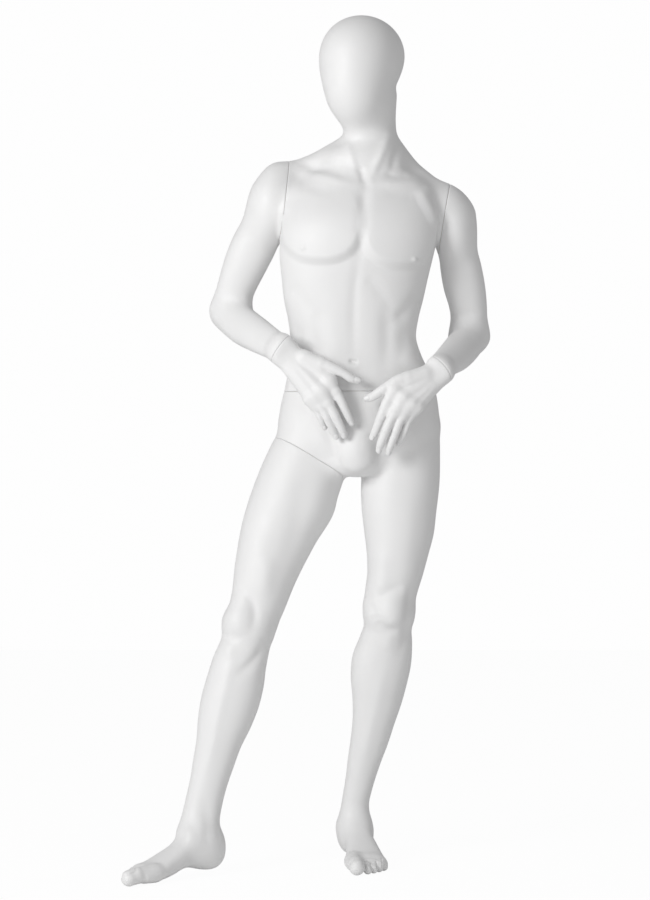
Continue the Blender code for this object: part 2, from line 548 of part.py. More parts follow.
class Assembly:
    """Pieces in the collection named for the object, each on the empty of its body."""

    def __init__(self):
        self.pieces = bpy.data.collections.new("full_body_mannequin")
        bpy.context.scene.collection.children.link(self.pieces)
        self.bodies = {}
        self.body("lower_body", (0, 0, 0), (0, 0, 1), None)

    def body(self, name, place, axis, parent):
        """An empty on the body's joint, with its Z along the axis."""
        empty = new_object(name + "_joint", None, self.pieces)
        empty.empty_display_size = 0.05
        if parent:
            empty.parent = self.bodies[parent]
            empty.matrix_parent_inverse = self.bodies[parent].matrix_world.inverted()
        empty.matrix_basis = Matrix.Translation(STAND) @ along(place, axis)
        bpy.context.view_layer.update()
        self.bodies[name] = empty

    def add(self, name, mesh, body, material, smooth=True):
        """A piece, made in the figure's own frame, hung on its body's empty."""
        empty = self.bodies[body]
        mesh.name = name
        mesh.materials.clear()
        mesh.materials.append(finish(material))
        mesh.transform(empty.matrix_world.inverted() @ Matrix.Translation(STAND))
        for polygon in mesh.polygons:
            polygon.use_smooth = smooth
        obj = new_object(name, mesh, self.pieces)
        obj.parent = empty
        return obj


def seam_slab(seam, reach_low, reach_high):
    """The thin gap of a seam, as a box in the seam's frame. Reach is to each side and up or down."""
    frame = along(*seam)
    return box_mesh((reach_low[0], reach_low[1], -SEAM / 2), (reach_high[0], reach_high[1], SEAM / 2), frame)


def plate_mesh(core, seam, side, thick, low, high, holes=()):
    """A plate that fills the shell behind a seam. Side is 1 on the limb, -1 on the trunk."""
    frame = along(*seam)
    near, far = sorted((side * SEAM / 2, side * (SEAM / 2 + thick)))
    blank = box_mesh((low[0], low[1], near), (high[0], high[1], far), frame)
    plate = combined(blank, [core], "INTERSECT")
    if holes:
        drills = [rod(radius, near - 0.01, far + 0.01, frame @ Matrix.Translation((x, y, 0))) for radius, x, y in holes]
        plate = combined(largest(plate), drills)
    return largest(plate)


def swivel(assembly, name, seam, fitting, trunk, spindle_body, limb_body):
    """A swivel joint: a bush in the trunk's plate, a spindle that turns in it, and a receiver in the limb."""
    frame = along(*seam)
    f = fitting
    top = -SEAM / 2 - FIT
    back = -SEAM / 2 - f["plate"]
    flange = back - FIT - 0.003
    assembly.add(name + "_bush", turned_mesh([
        (f["spindle"] + FIT, flange), (f["flange"], flange), (f["flange"], back - FIT),
        (f["bush"], back - FIT), (f["bush"], top), (f["spindle"] + FIT, top)], frame), trunk, "nylon")
    shaft = turned_mesh([
        (0, flange - FIT - 0.004), (f["head"], flange - FIT - 0.004), (f["head"], flange - FIT),
        (f["spindle"], flange - FIT), (f["spindle"], SEAM / 2 - FIT), (0, SEAM / 2 - FIT)], frame)
    key = box_mesh((-f["key"], -f["key"], -0.002), (f["key"], f["key"], f["key_length"]), frame)
    assembly.add(name + "_spindle", combined(shaft, [key], "UNION"), spindle_body, "steel", smooth=False)
    pocket = f["key_length"] + FIT
    floor = pocket + f["magnet_thick"] + FIT
    receiver = rod(f["receiver"], SEAM / 2 + FIT, floor + 0.003, frame)
    room = box_mesh((-f["key"] - FIT, -f["key"] - FIT, -0.01), (f["key"] + FIT, f["key"] + FIT, pocket), frame)
    recess = rod(f["magnet"] + FIT, pocket - 0.001, floor, frame)
    assembly.add(name + "_receiver", combined(receiver, [room, recess]), limb_body, "nylon", smooth=False)
    assembly.add(name + "_magnet", rod(f["magnet"], pocket, pocket + f["magnet_thick"], frame), limb_body, "zinc")


def screw_mesh(frame):
    """A cap screw with its head on the frame's plane and its shank below."""
    head = SCREW_HEAD * 0.7
    return turned_mesh([(0, -SCREW_LENGTH), (SCREW_RADIUS, -SCREW_LENGTH), (SCREW_RADIUS, 0),
                        (SCREW_HEAD, 0), (SCREW_HEAD, head), (0, head)], frame, 8)


def make_shells(body, core):
    """The skin cut apart at its seams, less the hollow inside."""
    waist = ((0, 0, WAIST_HEIGHT), (0, 0, 1))
    slabs = [
        seam_slab(SHOULDER_SEAM_R, (-0.12, -0.098), (0.12, 0.15)),
        seam_slab(SHOULDER_SEAM_L, (-0.12, -0.095), (0.12, 0.15)),
        seam_slab(waist, (-0.185, -0.13), (0.20, 0.13)),
        seam_slab(HIP_SEAM, (-0.17, -0.102), (0.17, 0.125)),
        seam_slab(WRIST_SEAM_R, (-WRIST_REACH, -WRIST_REACH), (WRIST_REACH, WRIST_REACH)),
        seam_slab(WRIST_SEAM_L, (-WRIST_REACH, -WRIST_REACH), (WRIST_REACH, WRIST_REACH)),
    ]
    return [found for found in islands(combined(body, [core] + slabs + spigot_cutters())) if found[2] > 60]


def around(shells, place):
    """The shell that lies round a place inside it."""
    return min(shells, key=lambda found: np.linalg.norm(found[1] - np.array(place), axis=1).min())[0]


def waist_fittings(parts, core):
    """The post on the hips' plate, the socket on the chest's, two dowels and the post's screws."""
    seam = ((0.010, 0.000, WAIST_HEIGHT), (0, 0, 1))
    frame = along(*seam)
    low, high = (-0.20, -0.13), (0.20, 0.13)
    sleeve = POST_RADIUS + FIT
    socket = sleeve + SOCKET_WALL
    spots = [(-DOWEL_SPREAD, 0), (DOWEL_SPREAD, 0)]
    bolts = [(POST_FLANGE * 0.7 * math.cos(a), POST_FLANGE * 0.7 * math.sin(a))
             for a in (math.pi / 4 + k * math.pi / 2 for k in range(4))]
    under = -SEAM / 2 - WAIST_PLATE
    # The post's flange lies under the hips' plate, so that the seam can close
    parts.add("pelvis_waist_plate", plate_mesh(core, seam, -1, WAIST_PLATE, low, high, [
        (POST_RADIUS + FIT, 0, 0), *[(DOWEL_RADIUS + FIT, x, y) for x, y in spots],
        *[(SCREW_RADIUS + FIT, x, y) for x, y in bolts]]), "lower_body", "plywood", smooth=False)
    parts.add("torso_waist_plate", plate_mesh(core, seam, 1, WAIST_PLATE, low, high, [
        (socket + FIT, 0, 0), *[(DOWEL_RADIUS + FIT, x, y) for x, y in spots]]), "upper_body", "plywood", smooth=False)
    top = under - FIT
    post = turned_mesh([
        (0, top - FLANGE_THICK), (POST_FLANGE, top - FLANGE_THICK), (POST_FLANGE, top),
        (POST_RADIUS, top), (POST_RADIUS, POST_LENGTH - 0.003), (POST_RADIUS - 0.003, POST_LENGTH), (0, POST_LENGTH)], frame)
    drills = [rod(SCREW_RADIUS + FIT, top - 0.02, top + 0.01, frame @ Matrix.Translation((x, y, 0))) for x, y in bolts]
    parts.add("waist_post", combined(post, drills), "lower_body", "steel", smooth=False)
    for k, (x, y) in enumerate(bolts):
        turn = frame @ Matrix.Translation((x, y, top - FLANGE_THICK - FIT)) @ Matrix.Rotation(math.pi, 4, "X")
        parts.add(f"waist_post_screw_{k + 1}", screw_mesh(turn), "lower_body", "zinc")
    for k, (x, y) in enumerate(spots):
        parts.add(f"waist_dowel_{k + 1}", turned_mesh([
            (0, -WAIST_PLATE * 0.8), (DOWEL_RADIUS, -WAIST_PLATE * 0.8), (DOWEL_RADIUS, DOWEL_LENGTH - 0.003),
            (DOWEL_RADIUS - 0.002, DOWEL_LENGTH), (0, DOWEL_LENGTH)], frame @ Matrix.Translation((x, y, 0))), "lower_body", "plywood")
    above = SEAM / 2 + WAIST_PLATE + FIT
    parts.add("waist_socket", turned_mesh([
        (sleeve, SEAM / 2 + FIT), (socket, SEAM / 2 + FIT), (socket, above), (socket + 0.012, above),
        (socket + 0.012, above + 0.003), (socket, above + 0.003), (socket, SOCKET_LENGTH), (sleeve, SOCKET_LENGTH)],
        frame), "upper_body", "steel", smooth=False)


def shoulder_fittings(parts, core, side, seam):
    low, high = (-0.075, -0.080), (0.075, 0.090)
    fitting = ARM_FITTING
    parts.add(f"torso_{side}_shoulder_plate", plate_mesh(core, seam, -1, fitting["plate"], low, high, [
        (fitting["bush"] + FIT, 0, 0)]), "upper_body", "plywood", smooth=False)
    parts.add(f"{side}_arm_shoulder_plate", plate_mesh(core, seam, 1, fitting["plate"], low, high, [
        (fitting["receiver"] + FIT, 0, 0)]), f"{side}_arm", "plywood", smooth=False)
    swivel(parts, f"{side}_shoulder", seam, fitting, "upper_body", f"{side}_shoulder", f"{side}_arm")


def wrist_fittings(parts, core, side, seam):
    fitting = WRIST_FITTING
    parts.add(f"{side}_arm_wrist_plate", plate_mesh(
        core, seam, -1, fitting["plate"], (-WRIST_REACH, -WRIST_REACH), (WRIST_REACH, WRIST_REACH), [
        (fitting["bush"] + FIT, 0, 0)]), f"{side}_arm", "plywood", smooth=False)
    swivel(parts, f"{side}_wrist", seam, fitting, f"{side}_arm", f"{side}_wrist", f"{side}_hand")


def hip_fittings(parts, core):
    """A flanged pin in the pelvis's plate, and a flanged socket in the leg's, with a dowel against turning."""
    frame = along(*HIP_SEAM)
    low, high = (-0.13, -0.085), (0.13, 0.095)
    near, far = -SEAM / 2, -SEAM / 2 - PLATE
    socket = HIP_PIN_RADIUS + FIT + 0.004
    dowel = (0, -0.045)
    bolts = [(0.72 * HIP_FLANGE * math.cos(a), 0.72 * HIP_FLANGE * math.sin(a))
             for a in (math.pi / 2 + k * 2 * math.pi / 3 for k in range(3))]
    parts.add("pelvis_hip_plate", plate_mesh(core, HIP_SEAM, -1, PLATE, low, high, [
        (HIP_PIN_RADIUS + FIT, 0, 0), (DOWEL_RADIUS + FIT, *dowel),
        *[(SCREW_RADIUS + FIT, x, y) for x, y in bolts]]), "lower_body", "plywood", smooth=False)
    parts.add("leg_hip_plate", plate_mesh(core, HIP_SEAM, 1, PLATE, low, high, [
        (socket + FIT, 0, 0), (DOWEL_RADIUS + FIT, *dowel)]), "right_leg", "plywood", smooth=False)
    back = far - FIT
    pin = turned_mesh([
        (0, back - 0.003), (HIP_FLANGE, back - 0.003), (HIP_FLANGE, back), (HIP_PIN_RADIUS, back),
        (HIP_PIN_RADIUS, HIP_PIN_LENGTH - 0.002), (HIP_PIN_RADIUS - 0.002, HIP_PIN_LENGTH), (0, HIP_PIN_LENGTH)], frame)
    drills = [rod(SCREW_RADIUS + FIT, back - 0.02, back + 0.01, frame @ Matrix.Translation((x, y, 0))) for x, y in bolts]
    parts.add("hip_pin", combined(pin, drills), "lower_body", "steel", smooth=False)
    for k, (x, y) in enumerate(bolts):
        turn = frame @ Matrix.Translation((x, y, back - 0.003 - FIT)) @ Matrix.Rotation(math.pi, 4, "X")
        parts.add(f"hip_pin_screw_{k + 1}", screw_mesh(turn), "lower_body", "zinc")
    parts.add("hip_dowel", rod(DOWEL_RADIUS, -PLATE * 0.8, PLATE * 0.8, frame @ Matrix.Translation((*dowel, 0))),
              "lower_body", "plywood")
    edge = SEAM / 2 + PLATE + FIT
    parts.add("leg_hip_socket", turned_mesh([
        (HIP_PIN_RADIUS + FIT, SEAM / 2 + FIT), (socket, SEAM / 2 + FIT), (socket, edge), (socket + 0.009, edge),
        (socket + 0.009, edge + 0.003), (socket, edge + 0.003), (socket, HIP_PIN_LENGTH + 0.004),
        (HIP_PIN_RADIUS + FIT, HIP_PIN_LENGTH + 0.004)], frame), "right_leg", "steel", smooth=False)


def spigot_place():
    """The middle of the left heel, on its sole."""
    turn = math.radians(FOOT_L_HEADING)
    return Vector((ANKLE_L[0] - math.sin(turn) * 0.012, ANKLE_L[1] + math.cos(turn) * 0.012, SOLE_HEIGHT))


def foot_fittings(parts, core):
    """The steel socket that stands on the base's spigot, and the block that holds it in the ankle."""
    frame = Matrix.Translation(spigot_place())
    tube = SPIGOT_RADIUS + SPIGOT_WALL
    blank = box_mesh((-0.045, -0.045, 0.018), (0.045, 0.045, 0.018 + BLOCK_HEIGHT), frame)
    block = largest(combined(blank, [core], "INTERSECT"))
    parts.add("left_foot_block", combined(block, [rod(tube + FIT, -0.05, 0.10, frame)]), "lower_body", "plywood", smooth=False)
    parts.add("left_foot_socket", turned_mesh([
        (SPIGOT_RADIUS, 0), (SPIGOT_FLANGE, 0), (SPIGOT_FLANGE, 0.003), (tube, 0.003),
        (tube, SPIGOT_LENGTH), (SPIGOT_RADIUS, SPIGOT_LENGTH)], frame), "lower_body", "steel", smooth=False)


def spigot_cutters():
    """The recess in the left sole for the socket and its flange, flat at the bottom."""
    frame = Matrix.Translation(spigot_place())
    tube = SPIGOT_RADIUS + SPIGOT_WALL
    return [rod(SPIGOT_FLANGE + FIT, -0.05, 0.003 + FIT, frame), rod(tube + FIT, -0.05, 0.03, frame)]


def build():
    for obj in list(bpy.data.objects):
        bpy.data.objects.remove(obj)
    parts = Assembly()
    parts.body("upper_body", (0.010, 0, WAIST_HEIGHT), (0, 0, 1), "lower_body")
    parts.body("right_leg", *HIP_SEAM, "lower_body")
    sides = (("right", SHOULDER_SEAM_R, WRIST_SEAM_R, ELBOW_R), ("left", SHOULDER_SEAM_L, WRIST_SEAM_L, ELBOW_L))
    for side, shoulder, wrist, _ in sides:
        parts.body(side + "_shoulder", *shoulder, "upper_body")
        parts.body(side + "_arm", *shoulder, side + "_shoulder")
        parts.body(side + "_wrist", *wrist, side + "_arm")
        parts.body(side + "_hand", *wrist, side + "_wrist")

    clay = body_clay()
    skin = thinned(clay.mesh(), BODY_SHARE)
    core = thinned(largest(clay.mesh(-WALL)), CORE_SHARE)
    inside = shrunk(core, FIT * 2.2)
    shells = make_shells(skin, core)
    parts.add("lower_body_shell", around(shells, KNEE_L), "lower_body", "shell_white")
    parts.add("right_leg_shell", around(shells, KNEE_R), "right_leg", "shell_white")
    parts.add("upper_body_shell", around(shells, (0, 0, HEAD_TOP)), "upper_body", "shell_white")
    for side, shoulder, wrist, elbow in sides:
        parts.add(f"{side}_arm_shell", around(shells, elbow), f"{side}_arm", "shell_white")
        shoulder_fittings(parts, inside, side, shoulder)
        wrist_fittings(parts, inside, side, wrist)
    hands = (("right", WRIST_SEAM_R, ELBOW_R, WRIST_R, FOREARM_WIDE_R, FOREARM_R, PALM_R, HAND_R),
             ("left", WRIST_SEAM_L, ELBOW_L, WRIST_L, FOREARM_WIDE_L, FOREARM_L, PALM_L, HAND_L))
    for side, seam, elbow, wrist, across, forearm, palm, fingers in hands:
        hand = thinned(hand_clay(elbow, wrist, across, forearm, palm, fingers).mesh(), HAND_SHARE)
        trunk_side = box_mesh((-0.2, -0.2, -0.4), (0.2, 0.2, SEAM / 2), along(*seam))
        f = WRIST_FITTING
        pocket = rod(f["receiver"] + FIT, -0.01, f["key_length"] + f["magnet_thick"] + 3 * FIT + 0.003, along(*seam))
        parts.add(f"{side}_hand", largest(combined(hand, [trunk_side, pocket])), f"{side}_hand", "shell_white")
    waist_fittings(parts, inside)
    hip_fittings(parts, inside)
    foot_fittings(parts, inside)


build()
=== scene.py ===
"""Looks of the full body mannequin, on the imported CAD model.

The skin is worked out from the same shapes as the CAD solids, on a finer mesh, with the muscles,
joints, nails and seams that the solids leave out. Lengths are in metres where nothing else is
said. The figure's right is -X, it faces -Y, and its tables are in its own frame, which STAND moves over
the origin of the part."""
import json
import math

import bmesh
import bpy
import numpy as np
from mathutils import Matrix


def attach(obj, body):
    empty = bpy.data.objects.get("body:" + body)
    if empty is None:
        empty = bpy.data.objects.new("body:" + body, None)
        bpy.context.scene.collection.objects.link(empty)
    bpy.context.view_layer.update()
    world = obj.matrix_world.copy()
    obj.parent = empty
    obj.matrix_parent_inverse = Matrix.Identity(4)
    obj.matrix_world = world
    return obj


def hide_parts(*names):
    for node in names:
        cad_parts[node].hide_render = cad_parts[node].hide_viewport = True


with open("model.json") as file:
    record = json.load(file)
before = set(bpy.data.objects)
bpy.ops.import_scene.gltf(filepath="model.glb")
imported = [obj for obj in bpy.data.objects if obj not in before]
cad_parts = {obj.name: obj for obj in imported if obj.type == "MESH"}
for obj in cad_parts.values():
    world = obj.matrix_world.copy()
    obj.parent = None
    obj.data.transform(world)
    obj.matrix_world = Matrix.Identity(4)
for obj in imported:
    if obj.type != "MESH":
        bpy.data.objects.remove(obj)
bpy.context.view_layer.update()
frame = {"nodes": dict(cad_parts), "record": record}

import openvdb
from mathutils import Matrix, Vector

# ---------------- driving sizes
STAND = Vector((0.096, 0.0715, 0.0))  # moves the figure over the origin of the part

SEAM = 0.0006  # gap between two shells at a seam
WRIST_REACH = 0.04  # half of the cut across a wrist, which must stay clear of the waist
FIT = 0.0003  # running clearance of fittings

# Heights and places of the joints, right is the figure's right (-X)
HEAD_TURN = math.radians(20)  # towards its right shoulder
HEAD_TOP = 1.868
HIP_R, KNEE_R, ANKLE_R = (-0.095, 0.01, 0.95), (-0.2335, -0.058, 0.534), (-0.3235, -0.118, 0.087)
HIP_L, KNEE_L, ANKLE_L = (0.105, 0.01, 0.96), (0.077, -0.022, 0.562), (0.002, 0.07, 0.089)
SHOULDER_R, ELBOW_R, WRIST_R = (-0.184, 0.03, 1.47), (-0.278, 0.1, 1.22), (-0.159, -0.116, 1.131)
SHOULDER_L, ELBOW_L, WRIST_L = (0.225, 0.03, 1.43), (0.255, 0.1, 1.167), (0.1805, -0.129, 1.0925)
FOREARM_WIDE_R, FOREARM_WIDE_L = (0.59, 0, 0.807), (-0.719, 0, 0.695)  # the wide way of each forearm
FOOT_R_HEADING, FOOT_L_HEADING = -52, 8  # degrees from straight ahead, towards +X
FOOT_LENGTH_R, FOOT_LENGTH_L = 0.2725, 0.262
HEEL_BACK = 0.0405  # from the ankle's joint to the start of the heel
FEET = ((ANKLE_R, FOOT_R_HEADING, False, FOOT_LENGTH_R), (ANKLE_L, FOOT_L_HEADING, True, FOOT_LENGTH_L))


def beside(joint, *offset):
    """A place given from a joint."""
    return tuple(float(a + b) for a, b in zip(joint, offset))


def between(a, b):
    return tuple((p + q) / 2 for p, q in zip(a, b))


HIPS, SHOULDERS = between(HIP_R, HIP_L), between(SHOULDER_R, SHOULDER_L)
WAIST_HEIGHT = HIPS[2] + 0.086
ARMPIT_HEIGHT = SHOULDERS[2] - 0.085  # the arms run into the chest above it

# Seams: a point on each cutting plane and its normal, towards the limb
SHOULDER_SEAM_R = (beside(SHOULDER_R, 0.0264, -0.01, -0.015), (-1, -0.07, 0.13))
SHOULDER_SEAM_L = (beside(SHOULDER_L, -0.0292, -0.01, -0.015), (1, -0.048, -0.168))
WRIST_SEAM_R = (beside(WRIST_R, -0.0029, 0.004, -0.003), (0.773, -0.273, -0.571))
WRIST_SEAM_L = (beside(WRIST_L, -0.0022, 0.002, -0.0024), (-0.689, -0.459, -0.56))
HIP_SEAM = (beside(HIP_R, -0.005, -0.01, -0.058), (-0.52, -0.13, -0.845))

# The fitting in a wrist: the depth of its plate, the half width of its receiver and how deep it goes
WRIST_PLATE, WRIST_RECEIVER, WRIST_KEY, WRIST_MAGNET = 0.006, 0.008, 0.01, 0.002

# Limbs and torso: the share of the way between two joints, then how far the section reaches
# to each side, to the front and to the back, in millimetres
TORSO = [
    (-0.117, -106, 118, -97, 100), (-0.04, -152, 176, -106, 122), (0.02, -166, 186, -108, 126),
    (0.094, -165, 184, -106, 118), (0.183, -155, 176, -103, 100), (0.272, -146, 160, -100, 82),
    (0.338, -141, 145, -97, 74), (0.414, -142, 134, -95, 73), (0.494, -147, 138.6, -97, 81),
    (0.583, -156, 149.6, -104, 94), (0.677, -161, 160, -112, 106), (0.768, -165.5, 171, -118, 114),
    (0.849, -165, 180, -120, 118), (0.939, -160, 185, -113, 118), (1.005, -155, 186, -100, 114),
    (1.081, -140, 174, -80, 105), (1.131, -105, 140, -64, 92), (1.165, -78, 112, -58, 87),
    (1.195, -70, 104, -57, 86),
]
NECK = [
    (0, -75, 75, -60, 62), (0.216, -64, 64, -58, 60), (0.431, -56, 60, -57, 58), (0.69, -52, 58, -56, 56),
    (0.949, -50, 56, -50, 50),
]
UPPER_ARM_R = [
    (0, -42, 46, -46, 50), (0.243, -45, 50, -47, 50), (0.417, -52, 48, -47, 48), (0.59, -53, 42, -46, 44),
    (0.761, -50, 36, -43, 40), (0.965, -45, 36, -40, 40),
]
UPPER_ARM_L = [
    (0, -48, 38, -46, 50), (0.248, -46, 37, -47, 50), (0.416, -47, 44, -47, 48), (0.584, -44, 48, -46, 44),
    (0.745, -36, 48, -43, 40), (0.997, -36, 42, -40, 40),
]
FOREARM_R = [
    (0, -43, 36, -40, 38), (0.169, -46.5, 36, -42, 38), (0.339, -48, 34, -37, 34),
    (0.546, -44, 32.5, -32, 30), (0.753, -38, 30, -25, 24), (1.01, -30, 28.5, -18.5, 18.5),
]
FOREARM_L = [
    (0, -40, 36, -40, 38), (0.177, -44.5, 33, -42, 38), (0.354, -46, 32, -37, 34), (0.57, -44, 30, -32, 30),
    (0.786, -37, 28, -25, 24), (1.012, -30, 27, -18.5, 18.5),
]
THIGH_R = [
    (0, -68, 80, -85, 90), (0.18, -80, 98, -88, 92), (0.26, -83, 98.5, -88, 90),
    (0.338, -84.5, 101, -88, 88), (0.519, -83, 84, -83, 80), (0.722, -70, 70, -73, 68),
    (0.925, -53, 63, -60, 60), (1.006, -53, 58, -58, 56),
]
THIGH_L = [
    (0, -78, 82, -85, 90), (0.125, -80, 86, -88, 92), (0.287, -83, 89, -88, 92), (0.45, -78, 86, -85, 84),
    (0.569, -69.5, 83.5, -80, 78), (0.681, -61, 75, -75, 70), (0.793, -56, 66, -68, 64),
    (0.906, -58, 55.5, -62, 58), (1.017, -57, 50, -58, 54),
]
SHIN_R = [
    (0, -52, 56, -56, 56), (0.083, -51, 56.5, -52, 56), (0.181, -60, 57, -50, 58),
    (0.279, -65, 60, -50, 62), (0.376, -68, 58, -50, 60), (0.474, -66, 50, -48, 54),
    (0.572, -60, 38, -44, 46), (0.67, -58, 31, -38, 40), (0.768, -56, 25, -34, 36),
    (0.866, -57, 23, -32, 34), (0.994, -59, 26, -34, 34),
]
SHIN_L = [
    (0, -55, 50, -56, 54), (0.048, -50, 51, -53, 54), (0.143, -56, 60, -48, 58), (0.238, -65, 65, -46, 64),
    (0.333, -62, 63, -46, 66), (0.428, -51, 58, -44, 60), (0.523, -43, 50, -42, 50),
    (0.619, -40, 43, -38, 42), (0.712, -39, 34, -35, 36), (0.807, -37, 27, -33, 34),
    (0.902, -37, 23, -33, 34), (1.017, -36, 24, -34, 36),
]
FOOT = [
    (0.115, -26, 26, 23, 85), (0.229, -27, 29, 22.5, 100), (0.382, -30, 31, 20, 80),
    (0.534, -38, 36, 6.5, 58), (0.668, -43, 43, 1.5, 41), (0.744, -43, 45, 2.5, 36), (0.79, -36, 44, 4, 30),
]
# Toes: place across the foot, shares of its length for the start and the tip, and the radius at each
TOES = [
    (0.027, 0.7, 1.0, 0.0185, 0.0168), (0.003, 0.715, 0.935, 0.0118, 0.0092),
    (-0.011, 0.7, 0.895, 0.011, 0.0088), (-0.0245, 0.665, 0.842, 0.0106, 0.0085),
    (-0.037, 0.615, 0.782, 0.0106, 0.0085),
]


def in_metres(chains):
    return [[tuple(n / 1000 for n in point) for point in chain] for chain in chains]


# Hands, from the wrist: the joints of each finger as x, y, z and radius in millimetres, the knuckle
# first. A palm's bones run from the heel of the hand to each knuckle
HAND_R = in_metres([
    [(101.6, -24, -71.7, 11.5), (121.9, -23, -100.6, 9.8), (133.8, -21, -126.4, 9.2),
     (144.5, -15, -148.8, 8), (150, -11, -160.1, 6.6)],
    [(84.4, -26, -91, 11.5), (106.9, -27, -128.5, 10), (117.7, -25, -150, 9.4), (129.5, -17, -174.5, 8.4),
     (134.2, -12, -186.3, 7.2)],
    [(69.4, -24, -103.9, 11), (89.8, -25, -132.8, 9.4), (99.9, -23, -154.3, 8.8), (110.2, -14, -175.7, 7.8),
     (116.6, -9, -189.2, 6.6)],
    [(58.7, -18, -111.1, 9.5), (74.3, -16, -131.6, 8.2), (82.9, -12, -149.8, 7.4), (88.3, -8, -160.5, 6.8),
     (92.6, -4, -169.7, 5.8)],
    [(52.2, -12, -17.7, 13.5), (99.4, -21, -37.3, 12.5), (131.6, -23, -52.4, 9.8), (147.7, -21, -63.1, 9.6),
     (163.8, -18, -67.7, 8.2)],
])
PALM_R = in_metres([
    [(0.7, 3.5, 13.1, 16), (103.7, -21, -67.4, 13.5)],
    [(-2.5, 3, 6, 16), (86.6, -23, -91, 13.5)],
    [(-8, 3, -1, 15.5), (71.5, -21, -101.8, 13)],
    [(-11, 4, -8, 14), (60.8, -15, -106, 12)],
])
HAND_L = in_metres([
    [(-101, -23, -52.8, 12), (-120.2, -21, -91.3, 10.2), (-129.8, -17, -115.8, 9.5),
     (-140.1, -8, -141.5, 8.2), (-144.9, -3, -152.4, 6.8)],
    [(-80.7, -26, -70, 11.8), (-106.3, -27, -114.9, 10.2), (-117.2, -24, -140.5, 9.6),
     (-128.1, -12, -168.3, 8.4), (-130.6, -6, -180.1, 7.2)],
    [(-62.5, -24, -80.6, 11.2), (-86.1, -24, -116.9, 9.5), (-96.1, -21, -143.7, 9), (-107.1, -9, -172.6, 8),
     (-110, -3, -184.2, 6.8)],
    [(-47.4, -17, -87, 10), (-68.1, -15, -116.9, 8.2), (-76.1, -12, -139.3, 7.6), (-85.5, -4, -158.6, 6.8),
     (-89.3, 0, -166.1, 5.8)],
    [(-34.4, -12, -16.1, 14), (-84, -23, -28.1, 13), (-116, -22, -45.3, 10.5), (-141.7, -17, -63, 9.8),
     (-157.1, -13, -68.5, 8)],
])
PALM_L = in_metres([
    [(4.7, 4.4, -0.6, 16), (-96.8, -21, -46.4, 14)],
    [(6, 3.5, -6.5, 16), (-77.5, -24, -63.5, 13.8)],
    [(9, 3, -15, 15.5), (-60.2, -22, -76.3, 13)],
    [(10, 4, -20, 13.5), (-47.2, -15, -83.8, 12)],
])


# ---------------- shapes
def unit(v):
    v = np.array(v, float)
    return v / np.linalg.norm(v)


def cone(a, b, ra, rb):
    """A tapered bar with round ends, as (low corner, high corner, distance)."""
    a, b = np.array(a, float), np.array(b, float)
    d = b - a

    def distance(x, y, z):
        t = np.clip(((x - a[0]) * d[0] + (y - a[1]) * d[1] + (z - a[2]) * d[2]) / (d @ d), 0, 1)
        away = np.sqrt((x - a[0] - t * d[0]) ** 2 + (y - a[1] - t * d[1]) ** 2 + (z - a[2] - t * d[2]) ** 2)
        return away - (ra + (rb - ra) * t)

    r = max(ra, rb)
    return np.minimum(a, b) - r, np.maximum(a, b) + r, distance


def ellipsoid(centre, radii, along=(0, 0, 1), side=(1, 0, 0)):
    """radii are across, front to back and along."""
    c = np.array(centre, float)
    w = unit(along)
    u = unit(np.array(side, float) - w * (np.array(side, float) @ w))
    axes = [u, np.cross(w, u), w]

    def distance(x, y, z):
        local = [(x - c[0]) * k[0] + (y - c[1]) * k[1] + (z - c[2]) * k[2] for k in axes]
        near = np.sqrt(sum((p / r) ** 2 for p, r in zip(local, radii)))
        slope = np.sqrt(sum((p / r**2) ** 2 for p, r in zip(local, radii)))
        return near * (near - 1) / np.maximum(slope, 1e-6)

    box = np.sqrt(sum((k * r) ** 2 for k, r in zip(axes, radii)))
    return c - box, c + box, distance


def cubic(q):
    """The shares of the start, the slope there, the end and the slope there, at q between two rows."""
    return 2 * q**3 - 3 * q**2 + 1, q**3 - 2 * q**2 + q, 3 * q**2 - 2 * q**3, q**3 - q**2


def smooth_table(t, table):
    """The values of a table at t, by a smooth cubic through its rows."""
    places, values = table[:, 0], table[:, 1:]
    slopes = np.gradient(values, places, axis=0)
    t = np.clip(t, places[0], places[-1])
    i = np.clip(np.searchsorted(places, t) - 1, 0, len(places) - 2)
    step = places[i + 1] - places[i]
    start, turn_in, end, turn_out = cubic((t - places[i]) / step)
    for k in range(values.shape[1]):
        v, s = values[:, k], slopes[:, k]
        value = start * v[i] + turn_in * s[i] * step + end * v[i + 1] + turn_out * s[i + 1] * step
        yield value.astype(np.float32)


